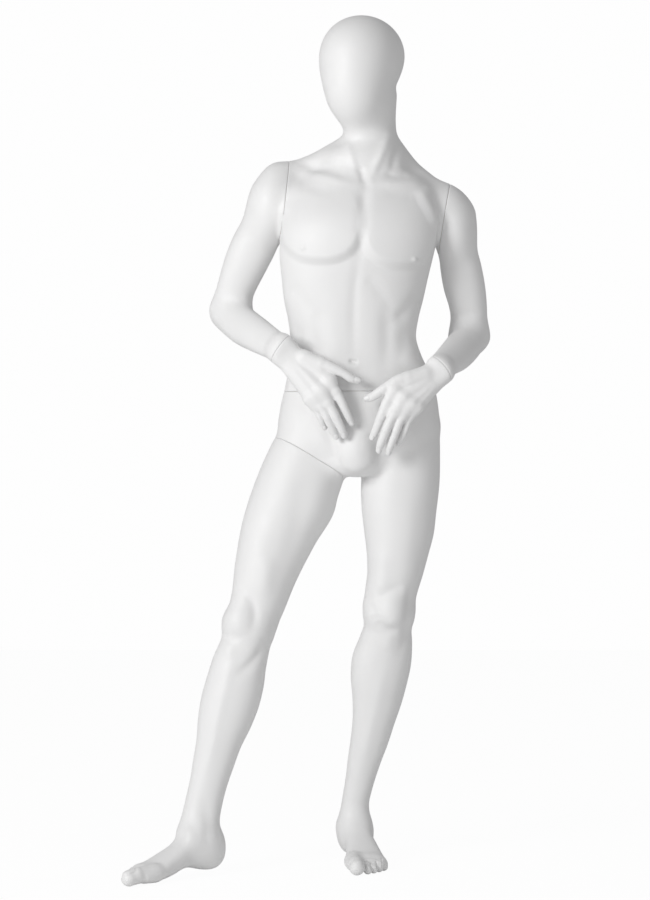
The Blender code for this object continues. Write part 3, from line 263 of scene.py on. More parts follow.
def limb(a, b, rows, side=(1, 0, 0), power=2.2, cap=0.6):
    """A limb from a towards b, with rounded sections that follow its table."""
    a, b = np.array(a, float), np.array(b, float)
    length = np.linalg.norm(b - a)
    w = (b - a) / length
    u = unit(np.array(side, float) - w * (np.array(side, float) @ w))
    v = np.cross(w, u)
    v = -v if v[1] < 0 or (abs(v[1]) < 1e-6 and v[2] < 0) else v
    table = np.array(rows, float) / (1, 1000, 1000, 1000, 1000)
    first, last = table[0, 0], table[-1, 0]

    def distance(x, y, z):
        p, q, t = [(x - a[0]) * k[0] + (y - a[1]) * k[1] + (z - a[2]) * k[2] for k in (u, v, w)]
        low, high, front, back = smooth_table(t / length, table)
        wide, deep = (high - low) / 2, (back - front) / 2
        pu, pv = np.abs(p - (low + high) / 2), np.abs(q - (front + back) / 2)
        fu, fv = (pu / wide) ** power, (pv / deep) ** power
        rho = np.maximum(fu + fv, 1e-9) ** (1 / power)
        slope = np.hypot(fu / np.maximum(pu, 1e-6), fv / np.maximum(pv, 1e-6)) / rho ** (power - 1)
        d = (rho - 1) / np.maximum(slope, 1e-6)
        over = np.maximum(np.maximum(first * length - t, t - last * length), 0)
        end = np.minimum(wide, deep) * cap
        return np.where(over > 0, np.hypot(np.maximum(d + end, 0), over) - end, d)

    reach = np.abs(table[:, 1:]).max() * 1.3
    ends = np.array([a + (b - a) * first, a + (b - a) * last])
    return ends.min(0) - reach, ends.max(0) + reach, distance


def add_head(clay):
    face = np.array((-math.sin(HEAD_TURN), -math.cos(HEAD_TURN), 0))
    side = np.array((math.cos(HEAD_TURN), -math.sin(HEAD_TURN), 0))
    centre = np.array((0.0143, -0.005, HEAD_TOP))
    clay.add(ellipsoid(centre - face * 0.006 - (0, 0, 0.087), (0.0905, 0.1115, 0.087), side=side))
    clay.add(ellipsoid(centre + face * 0.024 - (0, 0, 0.15), (0.074, 0.086, 0.0995), side=side), 0.04)


def add_neck(clay):
    base, top = beside(SHOULDERS, 0.0155, 0.01, 0.02), (0.031, 0.012, HEAD_TOP - 0.168)
    clay.add(limb(base, top, NECK, power=2.1), 0.055)
    for start, end in ((beside(base, -0.046, 0.01, 0.094), beside(SHOULDER_R, 0.036, 0.005, 0.04)),
                       (beside(base, 0.044, 0.01, 0.081), beside(SHOULDER_L, -0.025, 0.005, 0.023))):
        clay.add(cone(start, end, 0.036, 0.036), 0.04)


def add_arms(clay):
    for shoulder, elbow, offset, radii, down, rows in (
            (SHOULDER_R, ELBOW_R, (0.001, -0.008, -0.012), (0.047, 0.06, 0.083), (-0.15, 0, -1), UPPER_ARM_R),
            (SHOULDER_L, ELBOW_L, (-0.011, -0.008, -0.017), (0.046, 0.06, 0.078), (0.2, 0, -1), UPPER_ARM_L)):
        clay.add(ellipsoid(beside(shoulder, *offset), radii, down), 0.04)
        clay.add(limb(shoulder, elbow, rows), 0.03)
    clay.add(limb(ELBOW_R, WRIST_R, FOREARM_R, FOREARM_WIDE_R), 0.03)
    clay.add(limb(ELBOW_L, WRIST_L, FOREARM_L, FOREARM_WIDE_L), 0.03)


def add_hips(clay):
    clay.add(ellipsoid(beside(HIP_R, 0.02, 0.066, -0.015), (0.076, 0.062, 0.085)), 0.045)
    clay.add(ellipsoid(beside(HIP_L, -0.017, 0.066, -0.02), (0.078, 0.062, 0.085)), 0.045)
    clay.add(ellipsoid(beside(HIPS, -0.001, -0.085, -0.041), (0.04, 0.048, 0.052), (0, 0.1, 1)), 0.025)


def add_legs(clay):
    clay.add(limb(HIP_R, KNEE_R, THIGH_R), 0.02)
    clay.add(limb(KNEE_R, ANKLE_R, SHIN_R), 0.02)
    clay.add(limb(HIP_L, KNEE_L, THIGH_L), 0.01)
    clay.add(limb(KNEE_L, ANKLE_L, SHIN_L), 0.02)


def foot_frame(ankle, heading, left, length):
    """The direction towards the big toe, and a function that gives a place from the heel: its share of the
    foot's length, how far it is towards the big toe, and its height."""
    turn = math.radians(heading)
    ahead = np.array((math.sin(turn), -math.cos(turn), 0))
    inner = np.array((ahead[1], -ahead[0], 0)) * (1 if left else -1)
    heel = np.array((ankle[0], ankle[1], 0)) - ahead * HEEL_BACK

    def at(along, across, height):
        return heel + ahead * along * length + inner * across + (0, 0, height)

    return inner, at


def toe_paths(ankle, heading, left, length):
    """The start, bend and tip of each toe."""
    _, at = foot_frame(ankle, heading, left, length)
    for across, start, tip, root, end in TOES:
        bend = (start + tip) / 2 + 0.023
        yield (at(start, across * 0.95, root + 0.004), at(bend, across * 1.03, root + 0.003),
               at(tip - end / length, across * 1.04, end + 0.001))


def add_foot(clay, ankle, heading, left, length):
    inner, at = foot_frame(ankle, heading, left, length)
    clay.add(ellipsoid(at(0.13, 0, 0.0535), (0.029, 0.034, 0.0325), side=inner), 0.03)
    clay.add(limb(at(0, 0, 0), at(1, 0, 0), FOOT, inner, power=2.4, cap=0.5), 0.045)
    for (_, _, _, root, end), (start, bend, tip) in zip(TOES, toe_paths(ankle, heading, left, length)):
        clay.add(cone(start, bend, root, end), 0.01)
        clay.add(cone(bend, tip, end, end), 0.004)


def along(place, normal):
    """A frame at place with its Z along the normal and its Y as near up as it can be."""
    z = Vector(normal).normalized()
    up = Vector((0, 0, 1)) if abs(z.z) < 0.95 else Vector((0, -1, 0))
    y = (up - z * up.dot(z)).normalized()
    return Matrix.Translation(place) @ Matrix((y.cross(z), y, z)).transposed().to_4x4()


def melted(a, b, blend):
    """The nearer of two distances, with the corner between them filled over the blend's width."""
    share = np.maximum(blend - np.abs(a - b), 0) / blend
    return np.minimum(a, b) - share * share * blend / 4


def within(points, low, high):
    """The numbers of the points inside a box."""
    return np.flatnonzero(((points > low) & (points < high)).all(1))


class Clay:
    """Shapes that run into one another. Distances are negative inside."""

    FAR = 0.08

    def __init__(self):
        self.steps = []

    def add(self, shape, blend=0.01):
        self.steps.append((*shape, blend))

    def at(self, points):
        """The distance from each point to the skin, right within a few centimetres of it."""
        value = np.full(len(points), self.FAR)
        for low, high, distance, blend in self.steps:
            reach = blend + 0.015
            near = within(points, low - reach, high + reach)
            if len(near):
                value[near] = melted(value[near], distance(*points[near].T), blend)
        return value

    def on_grid(self, low, grain, count):
        value = np.full(count, self.FAR, np.float32)
        for near, far, distance, blend in self.steps:
            reach = blend + 3 * grain
            first = np.clip(np.floor((near - reach - low) / grain).astype(int), 0, count)
            last = np.clip(np.ceil((far + reach - low) / grain).astype(int) + 1, 0, count)
            part = tuple(slice(a, b) for a, b in zip(first, last))
            x, y, z = [(low[i] + grain * np.arange(first[i], last[i])).astype(np.float32) for i in range(3)]
            other = distance(x[:, None, None], y[None, :, None], z[None, None, :])
            value[part] = melted(value[part], other, blend)
        return value


class Body:
    """The trunk with the arms, which run into the chest only above the armpits."""

    def __init__(self):
        self.trunk, self.arms = Clay(), Clay()
        spine = (0, 0, HIPS[2]), (0, 0, SHOULDERS[2])
        self.trunk.add(limb(*spine, TORSO, power=2.3, cap=0.4), 0.001)
        add_hips(self.trunk)
        add_legs(self.trunk)
        for foot in FEET:
            add_foot(self.trunk, *foot)
        add_neck(self.trunk)
        add_head(self.trunk)
        add_arms(self.arms)
        add_palm(self.arms, WRIST_R, PALM_R)
        add_palm(self.arms, WRIST_L, PALM_L)

    @staticmethod
    def blend(height):
        return 0.002 + 0.04 * np.clip((height - ARMPIT_HEIGHT) / 0.07, 0, 1)

    def at(self, points):
        return melted(self.trunk.at(points), self.arms.at(points), self.blend(points[:, 2]))

    def on_grid(self, low, grain, count):
        blend = self.blend(low[2] + grain * np.arange(count[2])).astype(np.float32)
        return melted(self.trunk.on_grid(low, grain, count), self.arms.on_grid(low, grain, count), blend)


def rounded(points, steps):
    """The points of a smooth curve through these ones."""
    points = np.array(points, float)
    slopes = np.gradient(points, axis=0)
    curve = []
    for i in range(len(points) - 1):
        for t in np.arange(steps) / steps:
            start, turn_in, end, turn_out = cubic(t)
            curve.append(start * points[i] + turn_in * slopes[i]
                         + end * points[i + 1] + turn_out * slopes[i + 1])
    return np.array([*curve, points[-1]])


def tube(path):
    """A round bar along a path of x, y, z and radius."""
    parts = [cone(a[:3], b[:3], a[3], b[3]) for a, b in zip(path[:-1], path[1:])]
    low, high = np.min([p[0] for p in parts], 0), np.max([p[1] for p in parts], 0)
    return low, high, lambda x, y, z: np.minimum.reduce([distance(x, y, z) for _, _, distance in parts])


def add_palm(clay, wrist, palm):
    """The bones of a palm, run together before they meet the forearm, so that no cuff forms there."""
    bones = [cone(beside(wrist, *start[:3]), beside(wrist, *knuckle[:3]), start[3], knuckle[3] + 0.0008)
             for start, knuckle in palm]
    low, high = np.min([b[0] for b in bones], 0), np.max([b[1] for b in bones], 0)

    def distance(x, y, z):
        value = bones[0][2](x, y, z)
        for _, _, bone in bones[1:]:
            value = melted(value, bone(x, y, z), 0.009)
        return value

    clay.add((low, high, distance), 0.022)


class Hand(Clay):
    """A hand whose palm and fingers are given from the wrist, with the end of the forearm."""

    def __init__(self, elbow, wrist, side, forearm, palm, fingers):
        super().__init__()
        self.add(limb(elbow, wrist, forearm, side), 0.001)
        add_palm(self, wrist, palm)
        for finger in fingers:
            path = rounded([(*beside(wrist, *joint[:3]), joint[3]) for joint in finger], 3)
            self.add(tube(path[:3]), 0.014)
            self.add(tube(path[2:]), 0.0035)


# ---------------- skin
def skin_cage(clay, low, high, grain):
    """The clay's skin as a bmesh of even squares."""
    low = np.array(low, float)
    count = np.ceil((np.array(high) - low) / grain).astype(int) + 1
    grid = openvdb.FloatGrid(background=Clay.FAR)
    grid.copyFromArray(clay.on_grid(low, grain, count))
    points, triangles, quads = grid.convertToPolygons(isovalue=0.0, adaptivity=0.0)
    faces = [f.tolist() for f in quads] + [f.tolist() for f in triangles]
    mesh = bpy.data.meshes.new("cage")
    mesh.from_pydata((points * grain + low).tolist(), [], faces)
    bm = bmesh.new()
    bm.from_mesh(mesh)
    bpy.data.meshes.remove(mesh)
    return bm


def refine(bm, inside):
    """Halves the squares whose middle is inside."""
    faces = [f for f in bm.faces if inside(*f.calc_center_median())]
    edges = list({e for f in faces for e in f.edges})
    bmesh.ops.subdivide_edges(bm, edges=edges, cuts=1, use_grid_fill=True)


def points_of(verts):
    return np.array([v.co[:] for v in verts])


def slopes(clay, points, value):
    step = 0.0004
    return np.stack([(clay.at(points + step * axis) - value) / step for axis in np.eye(3)], 1)


def settle(clay, points, level=0.0, rounds=2, planes=None):
    """Moves points onto the clay's skin, or that deep in it, and returns them with their normals.
    Points that have a plane, given by its normal, stay in it."""
    for _ in range(rounds):
        value = clay.at(points)
        slope = slopes(clay, points, value)
        path = slope if planes is None else slope - (slope * planes).sum(1)[:, None] * planes
        size = np.maximum((path**2).sum(1), 0.09)
        points = points - np.clip((value - level) / size, -0.004, 0.004)[:, None] * path
    slope = slopes(clay, points, clay.at(points))
    return points, slope / np.linalg.norm(slope, axis=1)[:, None]


def eased(value, start, end):
    """0 below start, 1 above end, and smooth between."""
    t = np.clip((value - start) / (end - start), 0, 1)
    return t * t * (3 - 2 * t)


# ---------------- seams
class Seam:
    """A cut across the body, reaching to each side and up or down in its own frame."""

    RINGS = (0.0003, 0.0011, 0.0026)  # loops of points on each side of the cut

    def __init__(self, place_and_normal, low, high):
        self.frame = np.array(along(*place_and_normal))
        self.place, self.normal = self.frame[:3, 3], self.frame[:3, 2]
        self.low, self.high = low, high

    def local(self, points):
        return (points - self.place) @ self.frame[:3, :3]

    def holds(self, points, thick):
        """Which points lie within the cut's reach, and near its plane."""
        p = self.local(points)
        return ((p[:, :2] > self.low) & (p[:, :2] < self.high)).all(1) & (np.abs(p[:, 2]) < thick)

    def cut(self, bm, near):
        """Opens the cut in the faces near it, with loops beside it."""
        geom = near + list({e for f in near for e in f.edges}) + list({v for f in near for v in f.verts})
        for ring in self.RINGS:
            for side in (-1, 1):
                place = self.place + self.normal * side * ring
                made = bmesh.ops.bisect_plane(bm, geom=geom, dist=1e-6, plane_co=place, plane_no=self.normal)
                geom = made["geom"]
        faces = [g for g in geom if isinstance(g, bmesh.types.BMFace)]
        middles = np.array([f.calc_center_median() for f in faces])
        gap = np.flatnonzero(self.holds(middles, self.RINGS[0] * 0.9))
        bmesh.ops.delete(bm, geom=[faces[i] for i in gap], context="FACES")

    def groove(self, points):
        """How far the rounded edges of the cut fall back."""
        inside = self.holds(points, 0.004)
        depth = np.abs(self.local(points)[:, 2])
        return np.where(inside, -0.0008 * (1 - eased(depth, 0.0001, 0.0026)) ** 1.5, 0)


SHOULDER_CUT_R = Seam(SHOULDER_SEAM_R, (-0.12, -0.098), (0.12, 0.15))
SHOULDER_CUT_L = Seam(SHOULDER_SEAM_L, (-0.12, -0.095), (0.12, 0.15))
WAIST_CUT = Seam(((0.01, 0, WAIST_HEIGHT), (0, 0, 1)), (-0.185, -0.13), (0.2, 0.13))
HIP_CUT = Seam(HIP_SEAM, (-0.17, -0.102), (0.17, 0.125))
WRIST_CUT_R = Seam(WRIST_SEAM_R, (-WRIST_REACH, -WRIST_REACH), (WRIST_REACH, WRIST_REACH))
WRIST_CUT_L = Seam(WRIST_SEAM_L, (-WRIST_REACH, -WRIST_REACH), (WRIST_REACH, WRIST_REACH))
CUTS = (SHOULDER_CUT_R, SHOULDER_CUT_L, WAIST_CUT, HIP_CUT, WRIST_CUT_R, WRIST_CUT_L)


def cut_seams(bm, cuts):
    faces = list(bm.faces)
    middles = np.array([f.calc_center_median() for f in faces])
    held = [[faces[i] for i in np.flatnonzero(cut.holds(middles, 0.014))] for cut in cuts]
    for cut, near in zip(cuts, held):
        cut.cut(bm, near)


def settled_mesh(bm, clay, cuts, relief):
    """Moves the cage's points onto the skin, then out by the relief."""
    points = points_of(bm.verts)
    planes = np.zeros_like(points)
    for cut in cuts:
        planes[cut.holds(points, 0.0035)] = cut.normal
    points, normals = settle(clay, points, planes=planes)
    height = relief(points, normals)
    for cut in cuts:
        height = height + cut.groove(points)
    flat = normals - (normals * planes).sum(1)[:, None] * planes
    points = points + flat * height[:, None]
    for vert, point in zip(bm.verts, points):
        vert.co = point


def loose_bodies(bm):
    """The separate bodies of a bmesh, as lists of faces."""
    left = set(bm.faces)
    bodies = []
    while left:
        seed = left.pop()
        body, queue = [seed], [seed]
        while queue:
            for edge in queue.pop().edges:
                for face in edge.link_faces:
                    if face in left:
                        left.remove(face)
                        body.append(face)
                        queue.append(face)
        bodies.append(body)
    return bodies


def nearest(pieces, place):
    """The piece with the point that is nearest to the place."""
    return min(pieces, key=lambda bm: np.linalg.norm(points_of(bm.verts) - place, axis=1).min())


def bmesh_of(faces):
    """A new bmesh with these faces only."""
    bm = bmesh.new()
    made = {}
    for face in faces:
        for vert in face.verts:
            if vert not in made:
                made[vert] = bm.verts.new(vert.co)
        bm.faces.new([made[vert] for vert in face.verts]).smooth = True
    return bm


def pieces_of(bm):
    """A bmesh for each of the separate bodies but the scraps, in place of the one given."""
    pieces = [bmesh_of(faces) for faces in loose_bodies(bm) if len(faces) > SCRAP]
    bm.free()
    return pieces


def rim_of(bm, cut):
    """The open edges of a bmesh at a cut, and the side of the cut that they are on."""
    edges = [e for e in bm.edges if e.is_boundary]
    if not edges:
        return [], 0
    middles = np.array([(e.verts[0].co + e.verts[1].co) / 2 for e in edges])
    near = cut.holds(middles, 0.0006)
    if not near.any():
        return [], 0
    side = 1 if cut.local(middles[near])[:, 2].mean() > 0 else -1
    return [edges[i] for i in np.flatnonzero(near)], side


def drawn_out(bm, edges, place):
    """Extrudes the edges and puts the new points at place(old points)."""
    made = bmesh.ops.extrude_edge_only(bm, edges=edges)["geom"]
    verts = [v for v in made if isinstance(v, bmesh.types.BMVert)]
    for vert, point in zip(verts, place(points_of(verts))):
        vert.co = point
    for face in made:
        if isinstance(face, bmesh.types.BMFace):
            face.smooth = True
    return [e for e in made if isinstance(e, bmesh.types.BMEdge) and len(e.link_faces) == 1]


def sharpened(edges):
    for edge in edges:
        edge.smooth = False
    return edges


def capped(bm, edges):
    made = bmesh.ops.holes_fill(bm, edges=edges, sides=0)["faces"]
    bmesh.ops.triangulate(bm, faces=made)


def open_shell(bm, clay, cut, depth):
    """Gives a cut its rim and the inner side of the shell, as deep as its plate, closed behind it."""
    edges, side = rim_of(bm, cut)
    step = side * cut.normal * depth / SHELL_STEPS

    def inner(points):
        plane = np.tile(cut.normal, (len(points), 1))
        return settle(clay, points, -SHELL_RIM, 4, plane)[0]

    edges = sharpened(drawn_out(bm, sharpened(edges), inner))
    for _ in range(SHELL_STEPS):
        edges = drawn_out(bm, edges, lambda points: inner(points + step))
    capped(bm, edges)


def open_hand(bm, cut, radius, depth):
    """Closes a hand at the wrist, but for the round pocket that holds its receiver."""
    edges, side = rim_of(bm, cut)

    def circle(points):
        away = points - cut.place
        away -= np.outer(away @ cut.normal, cut.normal)
        plane = cut.place + side * cut.normal * SEAM / 2
        return plane + away / np.linalg.norm(away, axis=1)[:, None] * radius

    edges = sharpened(drawn_out(bm, sharpened(edges), circle))
    capped(bm, sharpened(drawn_out(bm, edges, lambda points: points + side * cut.normal * depth)))


def linked(name, data):
    obj = bpy.data.objects.new(name, data)
    bpy.context.scene.collection.objects.link(obj)
    return obj


def new_object(name, bm, material):
    """An object from a bmesh in the figure's frame."""
    bmesh.ops.recalc_face_normals(bm, faces=bm.faces)
    bm.transform(Matrix.Translation(STAND))
    mesh = bpy.data.meshes.new(name)
    bm.to_mesh(mesh)
    bm.free()
    mesh.materials.append(material)
    return linked(name, mesh)


def turned(profile, frame_in):
    """A turned bmesh from a closed profile of (radius, height) points."""
    bm = bmesh.new()
    angles = [2 * math.pi * k / HEEL_SIDES for k in range(HEEL_SIDES)]
    rings = [[bm.verts.new((r * math.cos(a), r * math.sin(a), z)) for a in angles] for r, z in profile]
    for low, high in zip(rings[:-1], rings[1:]):
        for k in range(HEEL_SIDES):
            n = (k + 1) % HEEL_SIDES
            bm.faces.new((low[k], low[n], high[n], high[k]))
    bm.faces.new(list(reversed(rings[0])))
    bm.faces.new(rings[-1])
    bm.transform(frame_in)
    return bm


def bored(obj, cutter):
    """Takes the cutter out of the object, and removes it."""
    tool = new_object("heel_cutter", cutter, MATERIALS["shell_white"])
    cut = obj.modifiers.new("cut", "BOOLEAN")
    cut.operation, cut.solver, cut.object = "DIFFERENCE", "EXACT", tool
    mesh = bpy.data.meshes.new_from_object(obj.evaluated_get(bpy.context.evaluated_depsgraph_get()))
    obj.modifiers.clear()
    obj.data = mesh
    bpy.data.objects.remove(tool)


def dressed(name, bm, body, node):
    """A piece of skin in place of a CAD node."""
    obj = new_object(name, bm, MATERIALS["shell_white"])
    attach(obj, body)
    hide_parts(node)
    return obj


HEEL_SIDES = 48
HEEL_PLACE = Matrix.Translation((0.00033, 0.08188, 0))  # the spigot's axis in the left heel
# The radius and height of the flange's seat in the heel, then of the bore
HEEL_POCKET = [(0.0153, 0.01), (0.0153, 0.0238), (0.0088, 0.0238), (0.0088, 0.086)]
SHELL_RIM = 0.0046  # width of the shell's edge at a seam
SHELL_STEPS = 6
SCRAP = 200  # faces of the largest loose body that is left out
GRAIN = 0.005  # width of the squares of the skin's cage
HAND_GRAIN = 0.0026


def make_body():
    body = Body()
    bm = skin_cage(body, (-0.52, -0.31, -0.02), (0.33, 0.17, HEAD_TOP + 0.02), GRAIN)
    refine(bm, lambda x, y, z: z < 0.115 or (y < -0.02 and 1.0 < z < 1.56) or (0.45 < z < 0.64 and y < 0))
    refine(bm, lambda x, y, z: z < 0.055)
    cut_seams(bm, CUTS)
    settled_mesh(bm, body, CUTS, body_relief)
    pieces = pieces_of(bm)
    wrist = WRIST_PLATE + 0.0015
    openings = ((SHOULDER_CUT_R, 0.014), (SHOULDER_CUT_L, 0.014), (WAIST_CUT, 0.017), (HIP_CUT, 0.014),
                (WRIST_CUT_R, wrist), (WRIST_CUT_L, wrist))
    for name, inside in (("lower_body", KNEE_L), ("right_leg", KNEE_R), ("upper_body", (0, 0, HEAD_TOP)),
                         ("right_arm", ELBOW_R), ("left_arm", ELBOW_L)):
        piece = nearest(pieces, np.array(inside))
        pieces.remove(piece)
        for cut, depth in openings:
            if rim_of(piece, cut)[1]:
                open_shell(piece, body, cut, depth)
        skin = dressed(f"{name}_skin", piece, name, f"{name}_shell")
        if name == "lower_body":
            bored(skin, turned(HEEL_POCKET, HEEL_PLACE))


def make_hand(side, cut, elbow, wrist, across, forearm, palm, fingers):
    hand = Hand(elbow, wrist, across, forearm, palm, fingers)
    offsets = np.array([point[:3] for finger in fingers for point in finger] + [(0, 0, 0)])
    bm = skin_cage(hand, offsets.min(0) + wrist - 0.035, offsets.max(0) + wrist + 0.035, HAND_GRAIN)
    refine(bm, lambda x, y, z: True)
    cut_seams(bm, (cut,))
    settled_mesh(bm, hand, (cut,), HandRelief(wrist, palm, fingers))
    piece = nearest(pieces_of(bm), np.array(wrist) + fingers[1][-1][:3])
    open_hand(piece, cut, WRIST_RECEIVER + FIT, WRIST_KEY + WRIST_MAGNET + 3 * FIT + 0.003)
    dressed(f"{side}_hand_skin", piece, f"{side}_hand", f"{side}_hand")


# Forms on the front and back of the body, in millimetres. A stroke is a path of (x, z), its half width and
# its height. A shelf is a path with higher ground on its left, its half width, its height and how far the
# ground runs out
STROKES = [
    # collar bones, with the hollows round them
    ([(-125, 1530), (-85.4, 1514), (-50.9, 1504), (-15, 1493)], 10.5, 3.4),
    ([(-130, 1552), (-100.6, 1540), (-70.3, 1530), (-30.6, 1518)], 11, -3.4),
    ([(-126, 1504), (-96, 1488), (-56, 1476)], 16, -3),
    ([(42, 1493), (84.8, 1491), (121.4, 1494), (155.9, 1492)], 10.5, 3),
    ([(56.7, 1518), (89.8, 1513), (122, 1515)], 10, -2.6),
    ([(55, 1467), (100, 1468), (130, 1462)], 15, -1.8),
    # notch, neck muscles and the hollow behind them
    ([(5, 1532), (13.7, 1515), (21.2, 1490)], 9, -4.4),
    ([(-24.2, 1603), (-11.2, 1561), (5.9, 1514)], 8.5, 2.4),
    ([(74.1, 1604), (55.8, 1556), (31.4, 1502)], 9.5, 4),
    ([(98.9, 1592), (88.6, 1556), (78.2, 1519)], 10, -4),
    # breastbone and middle of the belly
    ([(22.3, 1495), (19.2, 1453), (14.5, 1403), (10.1, 1335)], 14, -4.2),
    ([(7.2, 1335), (-0.7, 1270), (-4.3, 1215), (-4.3, 1120)], 11, -2.4),
    # edges of the ribs, flank, edges of the belly, waist and crest of the hip
    ([(-149.5, 1276), (-120.7, 1246), (-92, 1208)], 17, -2.8),
    ([(22.3, 1290), (43.9, 1266), (68.6, 1228)], 15, -2.2),
    ([(155.1, 1265), (116.1, 1222), (81.4, 1185)], 14, -4),
    ([(70.4, 1225), (66.4, 1182), (68.9, 1140), (61.1, 1080)], 16, -3.4),
    ([(110.3, 1187), (104.9, 1148), (102.3, 1104)], 16, -2.6), ([(115, 1113), (138, 1094)], 18, 4.4),
    ([(-83.1, 1226), (-76.8, 1165), (-68.3, 1090)], 17, -2.6),
    # belly to each side
    ([(-40, 1215), (-38, 1140)], 30, 1.6), ([(33, 1215), (32, 1140)], 28, 1.6),
    # nipples and navel
    ([(-108, 1350), (-107.8, 1349)], 4.6, 2.8), ([(122.5, 1326), (122.7, 1326)], 5.2, 3.2),
    ([(-9, 1105), (-0.2, 1104)], 4, -6.4), ([(-16.5, 1097), (-5.7, 1090), (5.1, 1098)], 5, 1),
    # groins and folds of the hips
    ([(-81.1, 978.3), (-59.5, 943.7), (-43.1, 911.3), (-30.6, 875.6)], 9, -3.4),
    ([(54.8, 940.1), (50.6, 904.9), (33.4, 872.5)], 10, -3.4),
    ([(114, 1000), (86, 950), (60, 915)], 22, -1), ([(-125, 1010), (-96, 960)], 22, -2.2),
    # right thigh
    ([(-97.2, 880.1), (-116.2, 805.1), (-133.2, 729.2), (-162.7, 643.3)], 24, -4),
    ([(-214, 710), (-210, 650)], 30, 2.2), ([(-190, 665), (-196, 620)], 17, 3.6),
    # left thigh
    ([(148.6, 805.1), (140, 718.4), (127, 642.5)], 22, -2.6), ([(56, 670), (52, 625)], 18, 3.2),
    # right knee
    ([(-256, 577.2), (-259, 542.7)], 24, 5.6),
    ([(-243.1, 613.7), (-222.9, 585.2), (-217.5, 555.6), (-224.7, 521.1)], 11, -4),
    ([(-292.1, 516.5), (-268.7, 507.2), (-243.1, 512.8)], 12, -1.8),
    # right shin
    ([(-273, 486.6), (-273, 478)], 13, 2.8),
    ([(-258.6, 424.9), (-232, 447.1), (-209.5, 471.5), (-195.4, 499.1)], 11, -4.6),
    ([(-268.3, 450.8), (-287.7, 375.5), (-304.9, 289.4), (-322.1, 203.3)], 12, 2.4),
    # left knee
    ([(81.4, 577.5), (80.4, 547.1)], 22, 5.2), ([(48.2, 590.1), (72.8, 607.3), (106.9, 624.1)], 11, -3),
    ([(27.7, 587), (40.9, 560), (47.1, 536.6)], 10, -2.8),
    ([(46.7, 545.8), (57.6, 532.3), (74.9, 524.3), (98.8, 529.8)], 10, -3.2),
    ([(121.6, 622.5), (118.4, 587.7), (114.1, 548.6), (108.8, 500.8), (94.7, 463.9)], 11, -3.6),
    # left shin
    ([(72.8, 501.6), (70.6, 488.6)], 13, 2.6),
    ([(66.7, 456.5), (49.3, 369.5), (29.7, 282.5), (10.2, 195.4)], 12, 2.2),
    # right ankle
    ([(-323.6, 158.8), (-317.2, 109.4), (-319.5, 66.4)], 12, -2.8),
    ([(-355.9, 93.9), (-353.8, 87.5)], 12, 2.8),
    # bends of the elbows
    ([(-300, 1250), (-262, 1244), (-236, 1256)], 16, -2.2),
    ([(214, 1217), (240, 1212), (262, 1218)], 14, -2.4),
]
SHELVES = [
    # left deltoid, then round the crotch
    ([(132.2, 1486), (138.6, 1456), (152.6, 1426), (170, 1385)], 11, 5.2, 45),
    ([(-60.4, 945.8), (-43.2, 911.3), (-33.7, 887.7), (-18.7, 871.3), (6, 866.3), (35.1, 874.8),
      (47.9, 892), (52, 925)], 8, 4.4, 32),
]
# Each side of the chest: its middle (x, z), its half sizes, its height, the width of its edge and the
# place up the body where it fades
MOUNDS = [
    (-72.5, 1411, 88, 90, 11.5, 12, 1440),
    (95, 1400, 82, 89, 10, 13, 1440),
]
BACK_STROKES = [
    # spine and the muscles beside it
    ([(15, 1520), (12, 1400), (8, 1250), (6, 1060)], 16, -6), ([(-32, 1240), (-34, 1110)], 24, 3.4),
    ([(46, 1240), (46, 1110)], 24, 3.4),
    # shoulder blades
    ([(-48, 1445), (-60, 1380), (-88, 1335)], 18, 4.6), ([(80, 1445), (92, 1380), (120, 1335)], 18, 4.6),
    ([(-30, 1440), (-40, 1370), (-70, 1315), (-105, 1300)], 14, -3.6),
    ([(62, 1440), (72, 1370), (102, 1315), (137, 1300)], 14, -3.6), ([(-62, 1475), (-120, 1455)], 14, 2.8),
    ([(94, 1475), (155, 1445)], 14, 2.8),
    # dimples, buttocks and the folds under them
    ([(-45, 1058), (-46, 1052)], 9, -3), ([(56, 1058), (57, 1052)], 9, -3),
    ([(5, 1025), (4, 980), (3, 920), (4, 885)], 8.5, -8.5),
    ([(-30, 884), (-75, 870), (-125, 878)], 10, -5.8), ([(36, 886), (80, 872), (130, 880)], 10, -5.8),
    # hollows of the hips and knees
    ([(-165, 965), (-168, 930)], 22, -4), ([(172, 970), (172, 935)], 22, -4),
    ([(-215, 590), (-225, 540)], 16, -4.6), ([(83, 600), (80, 560)], 16, -4.6),
    # calves and heel tendons
    ([(-252, 500), (-264, 400)], 7, -3), ([(62, 520), (46, 410)], 7, -3), ([(-309, 180), (-318, 90)], 7, 3),
    ([(11, 185), (2, 95)], 7, 3),
]


def path_distance(points, path):
    """The distance of points in a plane to a path, the share of the path that they are beside, and
    which side of it they are on, positive on its left."""
    best, side, share = np.full(len(points), 9.0), np.zeros(len(points)), np.zeros(len(points))
    for i, (a, b) in enumerate(zip(path[:-1], path[1:])):
        d = b - a
        t = (points - a) @ d / max(d @ d, 1e-12)
        away = points - a - np.clip(t, 0, 1)[:, None] * d
        distance = np.linalg.norm(away, axis=1)
        nearer = distance < best
        best[nearer] = distance[nearer]
        side[nearer] = np.sign(d[0] * away[nearer, 1] - d[1] * away[nearer, 0])
        share[nearer] = (i + np.clip(t[nearer], 0, 1)) / (len(path) - 1)
    return best, share, side


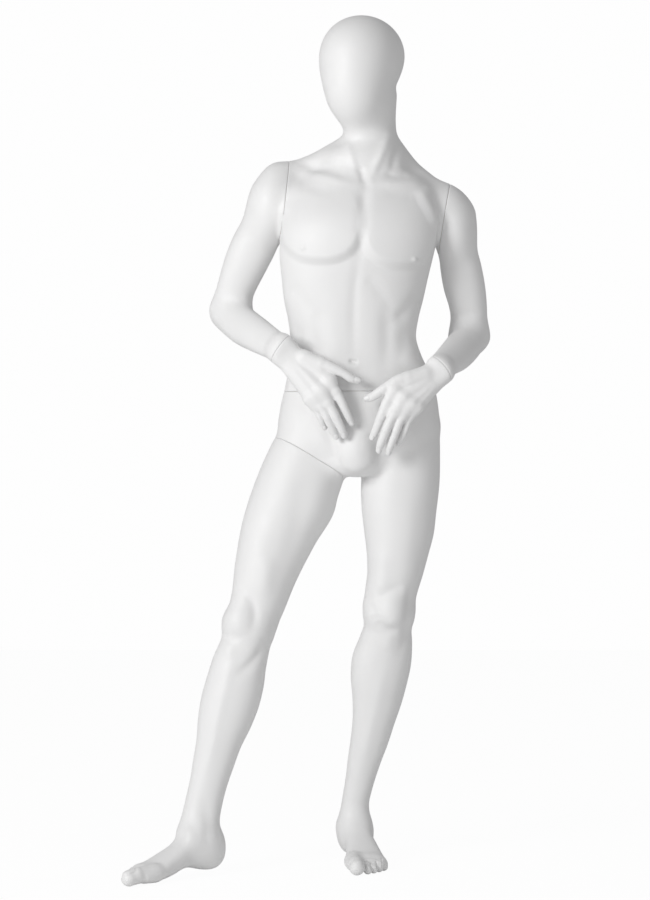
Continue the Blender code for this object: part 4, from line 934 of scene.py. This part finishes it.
def forms(flat, strokes, shelves=(), mounds=()):
    """The height of strokes, shelves and mounds at points in their plane."""
    height = np.zeros(len(flat))
    for x, z, wide, high, tall, edge, top in np.array(mounds) / 1000:
        out = (np.abs((flat[:, 0] - x) / wide) ** 2.4 + np.abs((flat[:, 1] - z) / high) ** 2.4) ** (1 / 2.4)
        fade = 1 - eased(flat[:, 1], top - 0.06, top + 0.05)
        height += tall * fade * (1 - eased(out, 1 - edge / high, 1 + edge / high))
    for path, *sizes in strokes:
        path, (width, tall) = np.array(path) / 1000, np.array(sizes) / 1000
        near = within(flat, path.min(0) - 3 * width, path.max(0) + 3 * width)
        distance, share, _ = path_distance(flat[near], rounded(path, 5))
        taper = 1 if len(path) < 3 else 0.35 + 0.65 * eased(0.5 - np.abs(share - 0.5), 0, 0.3)
        height[near] += tall * taper * np.exp(-((distance / width) ** 2))
    for path, *sizes in shelves:
        path, (width, tall, run) = np.array(path) / 1000, np.array(sizes) / 1000
        near = within(flat, path.min(0) - run - width, path.max(0) + run + width)
        distance, share, side = path_distance(flat[near], rounded(path, 5))
        distance *= side
        fade = eased(0.5 - np.abs(share - 0.5), 0, 0.22)
        height[near] += tall * fade * eased(distance, -width, width) * (1 - eased(distance, width, run))
    return height


def facing(cosine):
    """How far a form shows on skin that turns away from it."""
    return eased(cosine, 0.05, 0.55)


def body_relief(points, normals):
    height = np.zeros(len(points))
    front, back = np.flatnonzero(normals[:, 1] < 0), np.flatnonzero(normals[:, 1] > 0)
    height[front] = forms(points[front][:, [0, 2]], STROKES, SHELVES, MOUNDS) * facing(-normals[front, 1])
    height[back] = forms(points[back][:, [0, 2]], BACK_STROKES) * facing(normals[back, 1])
    return height + foot_relief(points)


def nail(points, a, b, radius, up):
    """A nail on the side up of the tip b of a finger or toe that comes from a: a plate in a shallow bed."""
    ahead = unit(np.array(b, float) - a)
    up = unit(up - ahead * (up @ ahead))
    across = np.cross(ahead, up)
    local = points - (b - ahead * radius * 0.1)
    u, v, w = local @ across / (radius * 0.74), local @ ahead / (radius * 1.02), local @ up
    out = (np.abs(u) ** 2.6 + np.abs(v) ** 2.6) ** (1 / 2.6)
    bed = np.exp(-(((out - 1.06) / 0.26) ** 2))
    plate = 1 - eased(out, 0.82, 1.02)
    return np.where(w > radius * 0.15, 0.00045 * plate - 0.001 * bed, 0)


def foot_relief(points):
    """Nails on the toes."""
    height = np.zeros(len(points))
    for foot in FEET:
        for (*_, radius), (_, bend, tip) in zip(TOES, toe_paths(*foot)):
            near = np.flatnonzero((np.abs(points - tip) < 0.03).all(1))
            height[near] += 1.2 * nail(points[near], bend, tip, radius * 0.95, np.array((0, 0, 1.0)))
    return height


class HandRelief:
    """Nails, creases over the finger joints, knuckles and tendons on the back of a hand."""

    BACK = np.array((0.0, -1.0, 0.12))

    def __init__(self, wrist, palm, fingers):
        self.wrist, self.palm, self.fingers = np.array(wrist), palm, fingers

    def __call__(self, points, normals):
        height = np.zeros(len(points))
        shown = facing(normals @ unit(self.BACK))
        for n, finger in enumerate(self.fingers):
            joints = [self.wrist + joint[:3] for joint in finger]
            height += nail(points, joints[3], joints[4], finger[4][3], self.BACK)
            for i, depth in ((2, 0.001), (3, 0.0007)):
                height += shown * self.creases(points, joints[i - 1], joints[i], finger[i][3], depth)
            if n < 4:
                away = np.linalg.norm(points - joints[0], axis=1)
                height += shown * 0.0012 * np.exp(-((away / 0.0135) ** 4))
                height += shown * self.tendon(points, self.wrist + self.palm[n][0][:3], joints[0])
        return height

    @staticmethod
    def creases(points, a, joint, radius, depth):
        """Three short folds across a joint, which itself stands out a little."""
        ahead = unit(joint - a)
        along_it = (points - joint) @ ahead
        away = np.linalg.norm(points - joint - np.outer(along_it, ahead), axis=1)
        here = away < radius * 1.5
        folds = sum(np.exp(-(((along_it - k * radius * 0.3) / 0.0008) ** 2)) * share
                    for k, share in ((-1, 0.7), (0, 1.0), (1, 0.7)))
        swell = np.exp(-((along_it / (radius * 0.9)) ** 2))
        return np.where(here, 0.00055 * swell - depth * folds, 0)

    @staticmethod
    def tendon(points, start, knuckle):
        flat = points[:, [0, 2]]
        distance, share, _ = path_distance(flat, np.array([start[[0, 2]], knuckle[[0, 2]]]))
        ends = eased(share, 0.25, 0.6) * (1 - eased(share, 0.9, 1.0))
        return 0.0007 * ends * np.exp(-((distance / 0.0042) ** 2))


# ---------------- materials
def noise(nodes, links, coordinate, scale, detail=2.0, roughness=0.5):
    node = nodes.new("ShaderNodeTexNoise")
    node.inputs["Scale"].default_value = scale
    node.inputs["Detail"].default_value = detail
    node.inputs["Roughness"].default_value = roughness
    links.new(coordinate, node.inputs["Vector"])
    return node.outputs["Fac"]


def ranged(nodes, links, value, low, high):
    node = nodes.new("ShaderNodeMapRange")
    node.inputs["From Min"].default_value, node.inputs["From Max"].default_value = 0.3, 0.7
    node.inputs["To Min"].default_value, node.inputs["To Max"].default_value = low, high
    links.new(value, node.inputs["Value"])
    return node.outputs["Result"]


def mixed(nodes, links, value, first, second):
    node = nodes.new("ShaderNodeMix")
    node.data_type = "RGBA"
    links.new(value, node.inputs["Factor"])
    node.inputs["A"].default_value, node.inputs["B"].default_value = (*first, 1), (*second, 1)
    return node.outputs["Result"]


def bumped(nodes, links, value, depth, shader):
    node = nodes.new("ShaderNodeBump")
    node.inputs["Strength"].default_value = 1.0
    node.inputs["Distance"].default_value = depth
    links.new(value, node.inputs["Height"])
    links.new(node.outputs["Normal"], shader.inputs["Normal"])


def new_material(name, metallic=0.0):
    material = bpy.data.materials.new(name)
    material.use_nodes = True
    nodes, links = material.node_tree.nodes, material.node_tree.links
    shader = nodes["Principled BSDF"]
    shader.inputs["Metallic"].default_value = metallic
    place = nodes.new("ShaderNodeTexCoord").outputs["Object"]
    return material, nodes, links, shader, place


LACQUER_COOL, LACQUER_WARM = (0.79, 0.788, 0.786), (0.803, 0.801, 0.798)


def lacquer():
    """Sprayed matt white on glass fibre: a faint orange peel and slow changes of tone."""
    material, nodes, links, shader, place = new_material("shell_white_lacquer")
    slow, fine = noise(nodes, links, place, 5.0, 3.0), noise(nodes, links, place, 60.0, 3.0)
    tone = mixed(nodes, links, ranged(nodes, links, slow, 0, 1), LACQUER_COOL, LACQUER_WARM)
    links.new(tone, shader.inputs["Base Color"])
    links.new(ranged(nodes, links, fine, 0.47, 0.58), shader.inputs["Roughness"])
    bumped(nodes, links, noise(nodes, links, place, 420.0, 3.0, 0.55), 0.00012, shader)
    return material


def plywood():
    material, nodes, links, shader, place = new_material("birch_plywood")
    stretch = nodes.new("ShaderNodeMapping")
    stretch.inputs["Scale"].default_value = (6.0, 90.0, 90.0)
    links.new(place, stretch.inputs["Vector"])
    grain = noise(nodes, links, stretch.outputs["Vector"], 1.0, 6.0, 0.6)
    links.new(mixed(nodes, links, ranged(nodes, links, grain, 0, 1), (0.6, 0.43, 0.25), (0.74, 0.57, 0.36)),
              shader.inputs["Base Color"])
    links.new(ranged(nodes, links, grain, 0.7, 0.55), shader.inputs["Roughness"])
    bumped(nodes, links, grain, 0.0002, shader)
    return material


def plain(name, dark, light, rough, grain, depth, metallic=0.0):
    """An even material with a fine grain, given by its scale, detail and roughness."""
    material, nodes, links, shader, place = new_material(name, metallic)
    fine = noise(nodes, links, place, *grain)
    links.new(mixed(nodes, links, ranged(nodes, links, fine, 0, 1), dark, light), shader.inputs["Base Color"])
    links.new(ranged(nodes, links, fine, *rough), shader.inputs["Roughness"])
    bumped(nodes, links, fine, depth, shader)
    return material


MATERIALS = {
    "shell_white": lacquer(),
    "plywood": plywood(),
    "steel": plain("turned_steel", (0.5, 0.5, 0.51), (0.62, 0.62, 0.63), (0.24, 0.4),
                   (350.0, 4.0, 0.6), 0.00004, 1.0),
    "zinc": plain("zinc_plate", (0.6, 0.61, 0.64), (0.74, 0.75, 0.77), (0.3, 0.45),
                  (500.0, 4.0, 0.6), 0.00004, 1.0),
    "nylon": plain("black_nylon", (0.085, 0.085, 0.09), (0.115, 0.115, 0.12), (0.42, 0.55),
                   (300.0, 3.0, 0.5), 0.00005),
}


# ---------------- stage
VIEW_PLACE = Vector((-0.066, -5.5, 0.9135))
LENS, SENSOR = 100.0, 36.0  # millimetres
PAPER = (0.99, 0.99, 0.99)
FLOOR_HEIGHT = -0.0005
FLOOR_PAPER = 0.965  # how far the floor fades to the white of the paper behind it
ROOM_GREY = (0.385, 0.385, 0.387, 1)  # the light of the room itself
LAMPS = (  # name, place, power in watts and size
    ("key", (-3.4, -3.7, 2.6), 160.0, (1.6, 2.2)),
    ("fill", (2.4, -3.8, 1.2), 14.0, (2.0, 2.0)),
)
LAMP_AIM = (0, 0, 0.9)


def add_camera():
    camera = bpy.data.cameras.new("camera")
    camera.lens, camera.sensor_width = LENS, SENSOR
    obj = linked("camera", camera)
    obj.location = VIEW_PLACE + STAND
    obj.rotation_euler = (math.pi / 2, 0, 0)
    bpy.context.scene.camera = obj


def add_lamp(name, place, power, size):
    lamp = bpy.data.lights.new(name, "AREA")
    lamp.energy, lamp.shape, lamp.size, lamp.size_y = power, "RECTANGLE", *size
    obj = linked(name, lamp)
    obj.location = place
    obj.rotation_euler = (Vector(LAMP_AIM) - Vector(place)).to_track_quat("-Z", "Y").to_euler()


def seen_by_camera(nodes, links, lit, paper, share, output):
    """Shows the camera some of the plain paper, in this share, over what other rays meet."""
    seen = nodes.new("ShaderNodeMath")
    seen.operation = "MULTIPLY"
    seen.inputs[1].default_value = share
    both = nodes.new("ShaderNodeMixShader")
    links.new(nodes.new("ShaderNodeLightPath").outputs["Is Camera Ray"], seen.inputs[0])
    links.new(seen.outputs["Value"], both.inputs["Fac"])
    links.new(lit, both.inputs[1])
    links.new(paper, both.inputs[2])
    links.new(both.outputs["Shader"], output.inputs["Surface"])


def add_floor():
    bm = bmesh.new()
    bmesh.ops.create_grid(bm, x_segments=8, y_segments=8, size=6.0)
    mesh = bpy.data.meshes.new("floor")
    bm.to_mesh(mesh)
    bm.free()
    floor = linked("floor", mesh)
    floor.location.z = FLOOR_HEIGHT
    material = bpy.data.materials.new("floor_paper")
    material.use_nodes = True
    shader = material.node_tree.nodes["Principled BSDF"]
    shader.inputs["Base Color"].default_value = (0.97, 0.97, 0.97, 1)
    shader.inputs["Roughness"].default_value = 0.9
    nodes, links = material.node_tree.nodes, material.node_tree.links
    paper = nodes.new("ShaderNodeEmission").outputs["Emission"]
    seen_by_camera(nodes, links, shader.outputs["BSDF"], paper, FLOOR_PAPER, nodes["Material Output"])
    mesh.materials.append(material)


def add_world():
    world = bpy.data.worlds.new("studio")
    bpy.context.scene.world = world
    world.use_nodes = True
    nodes, links = world.node_tree.nodes, world.node_tree.links
    room = nodes["Background"]
    room.inputs["Color"].default_value = ROOM_GREY
    room.inputs["Strength"].default_value = 1.0
    paper = nodes.new("ShaderNodeBackground")
    paper.inputs["Color"].default_value = (*PAPER, 1)
    seen_by_camera(nodes, links, room.outputs["Background"], paper.outputs["Background"], 1.0,
                   nodes["World Output"])


def dress_fittings():
    """Each CAD node that stays takes the material of its slot."""
    for part in frame["record"]["subparts"]:
        mesh = frame["nodes"][part["node"]].data
        for slot in range(len(mesh.materials)):
            mesh.materials[slot] = MATERIALS[part["material_slot"]]


make_body()
make_hand("right", WRIST_CUT_R, ELBOW_R, WRIST_R, FOREARM_WIDE_R, FOREARM_R, PALM_R, HAND_R)
make_hand("left", WRIST_CUT_L, ELBOW_L, WRIST_L, FOREARM_WIDE_L, FOREARM_L, PALM_L, HAND_L)
dress_fittings()
add_camera()
add_world()
add_floor()
bpy.context.scene.view_settings.view_transform = "Standard"
for name, place, power, size in LAMPS:
    add_lamp(name, place, power, size)
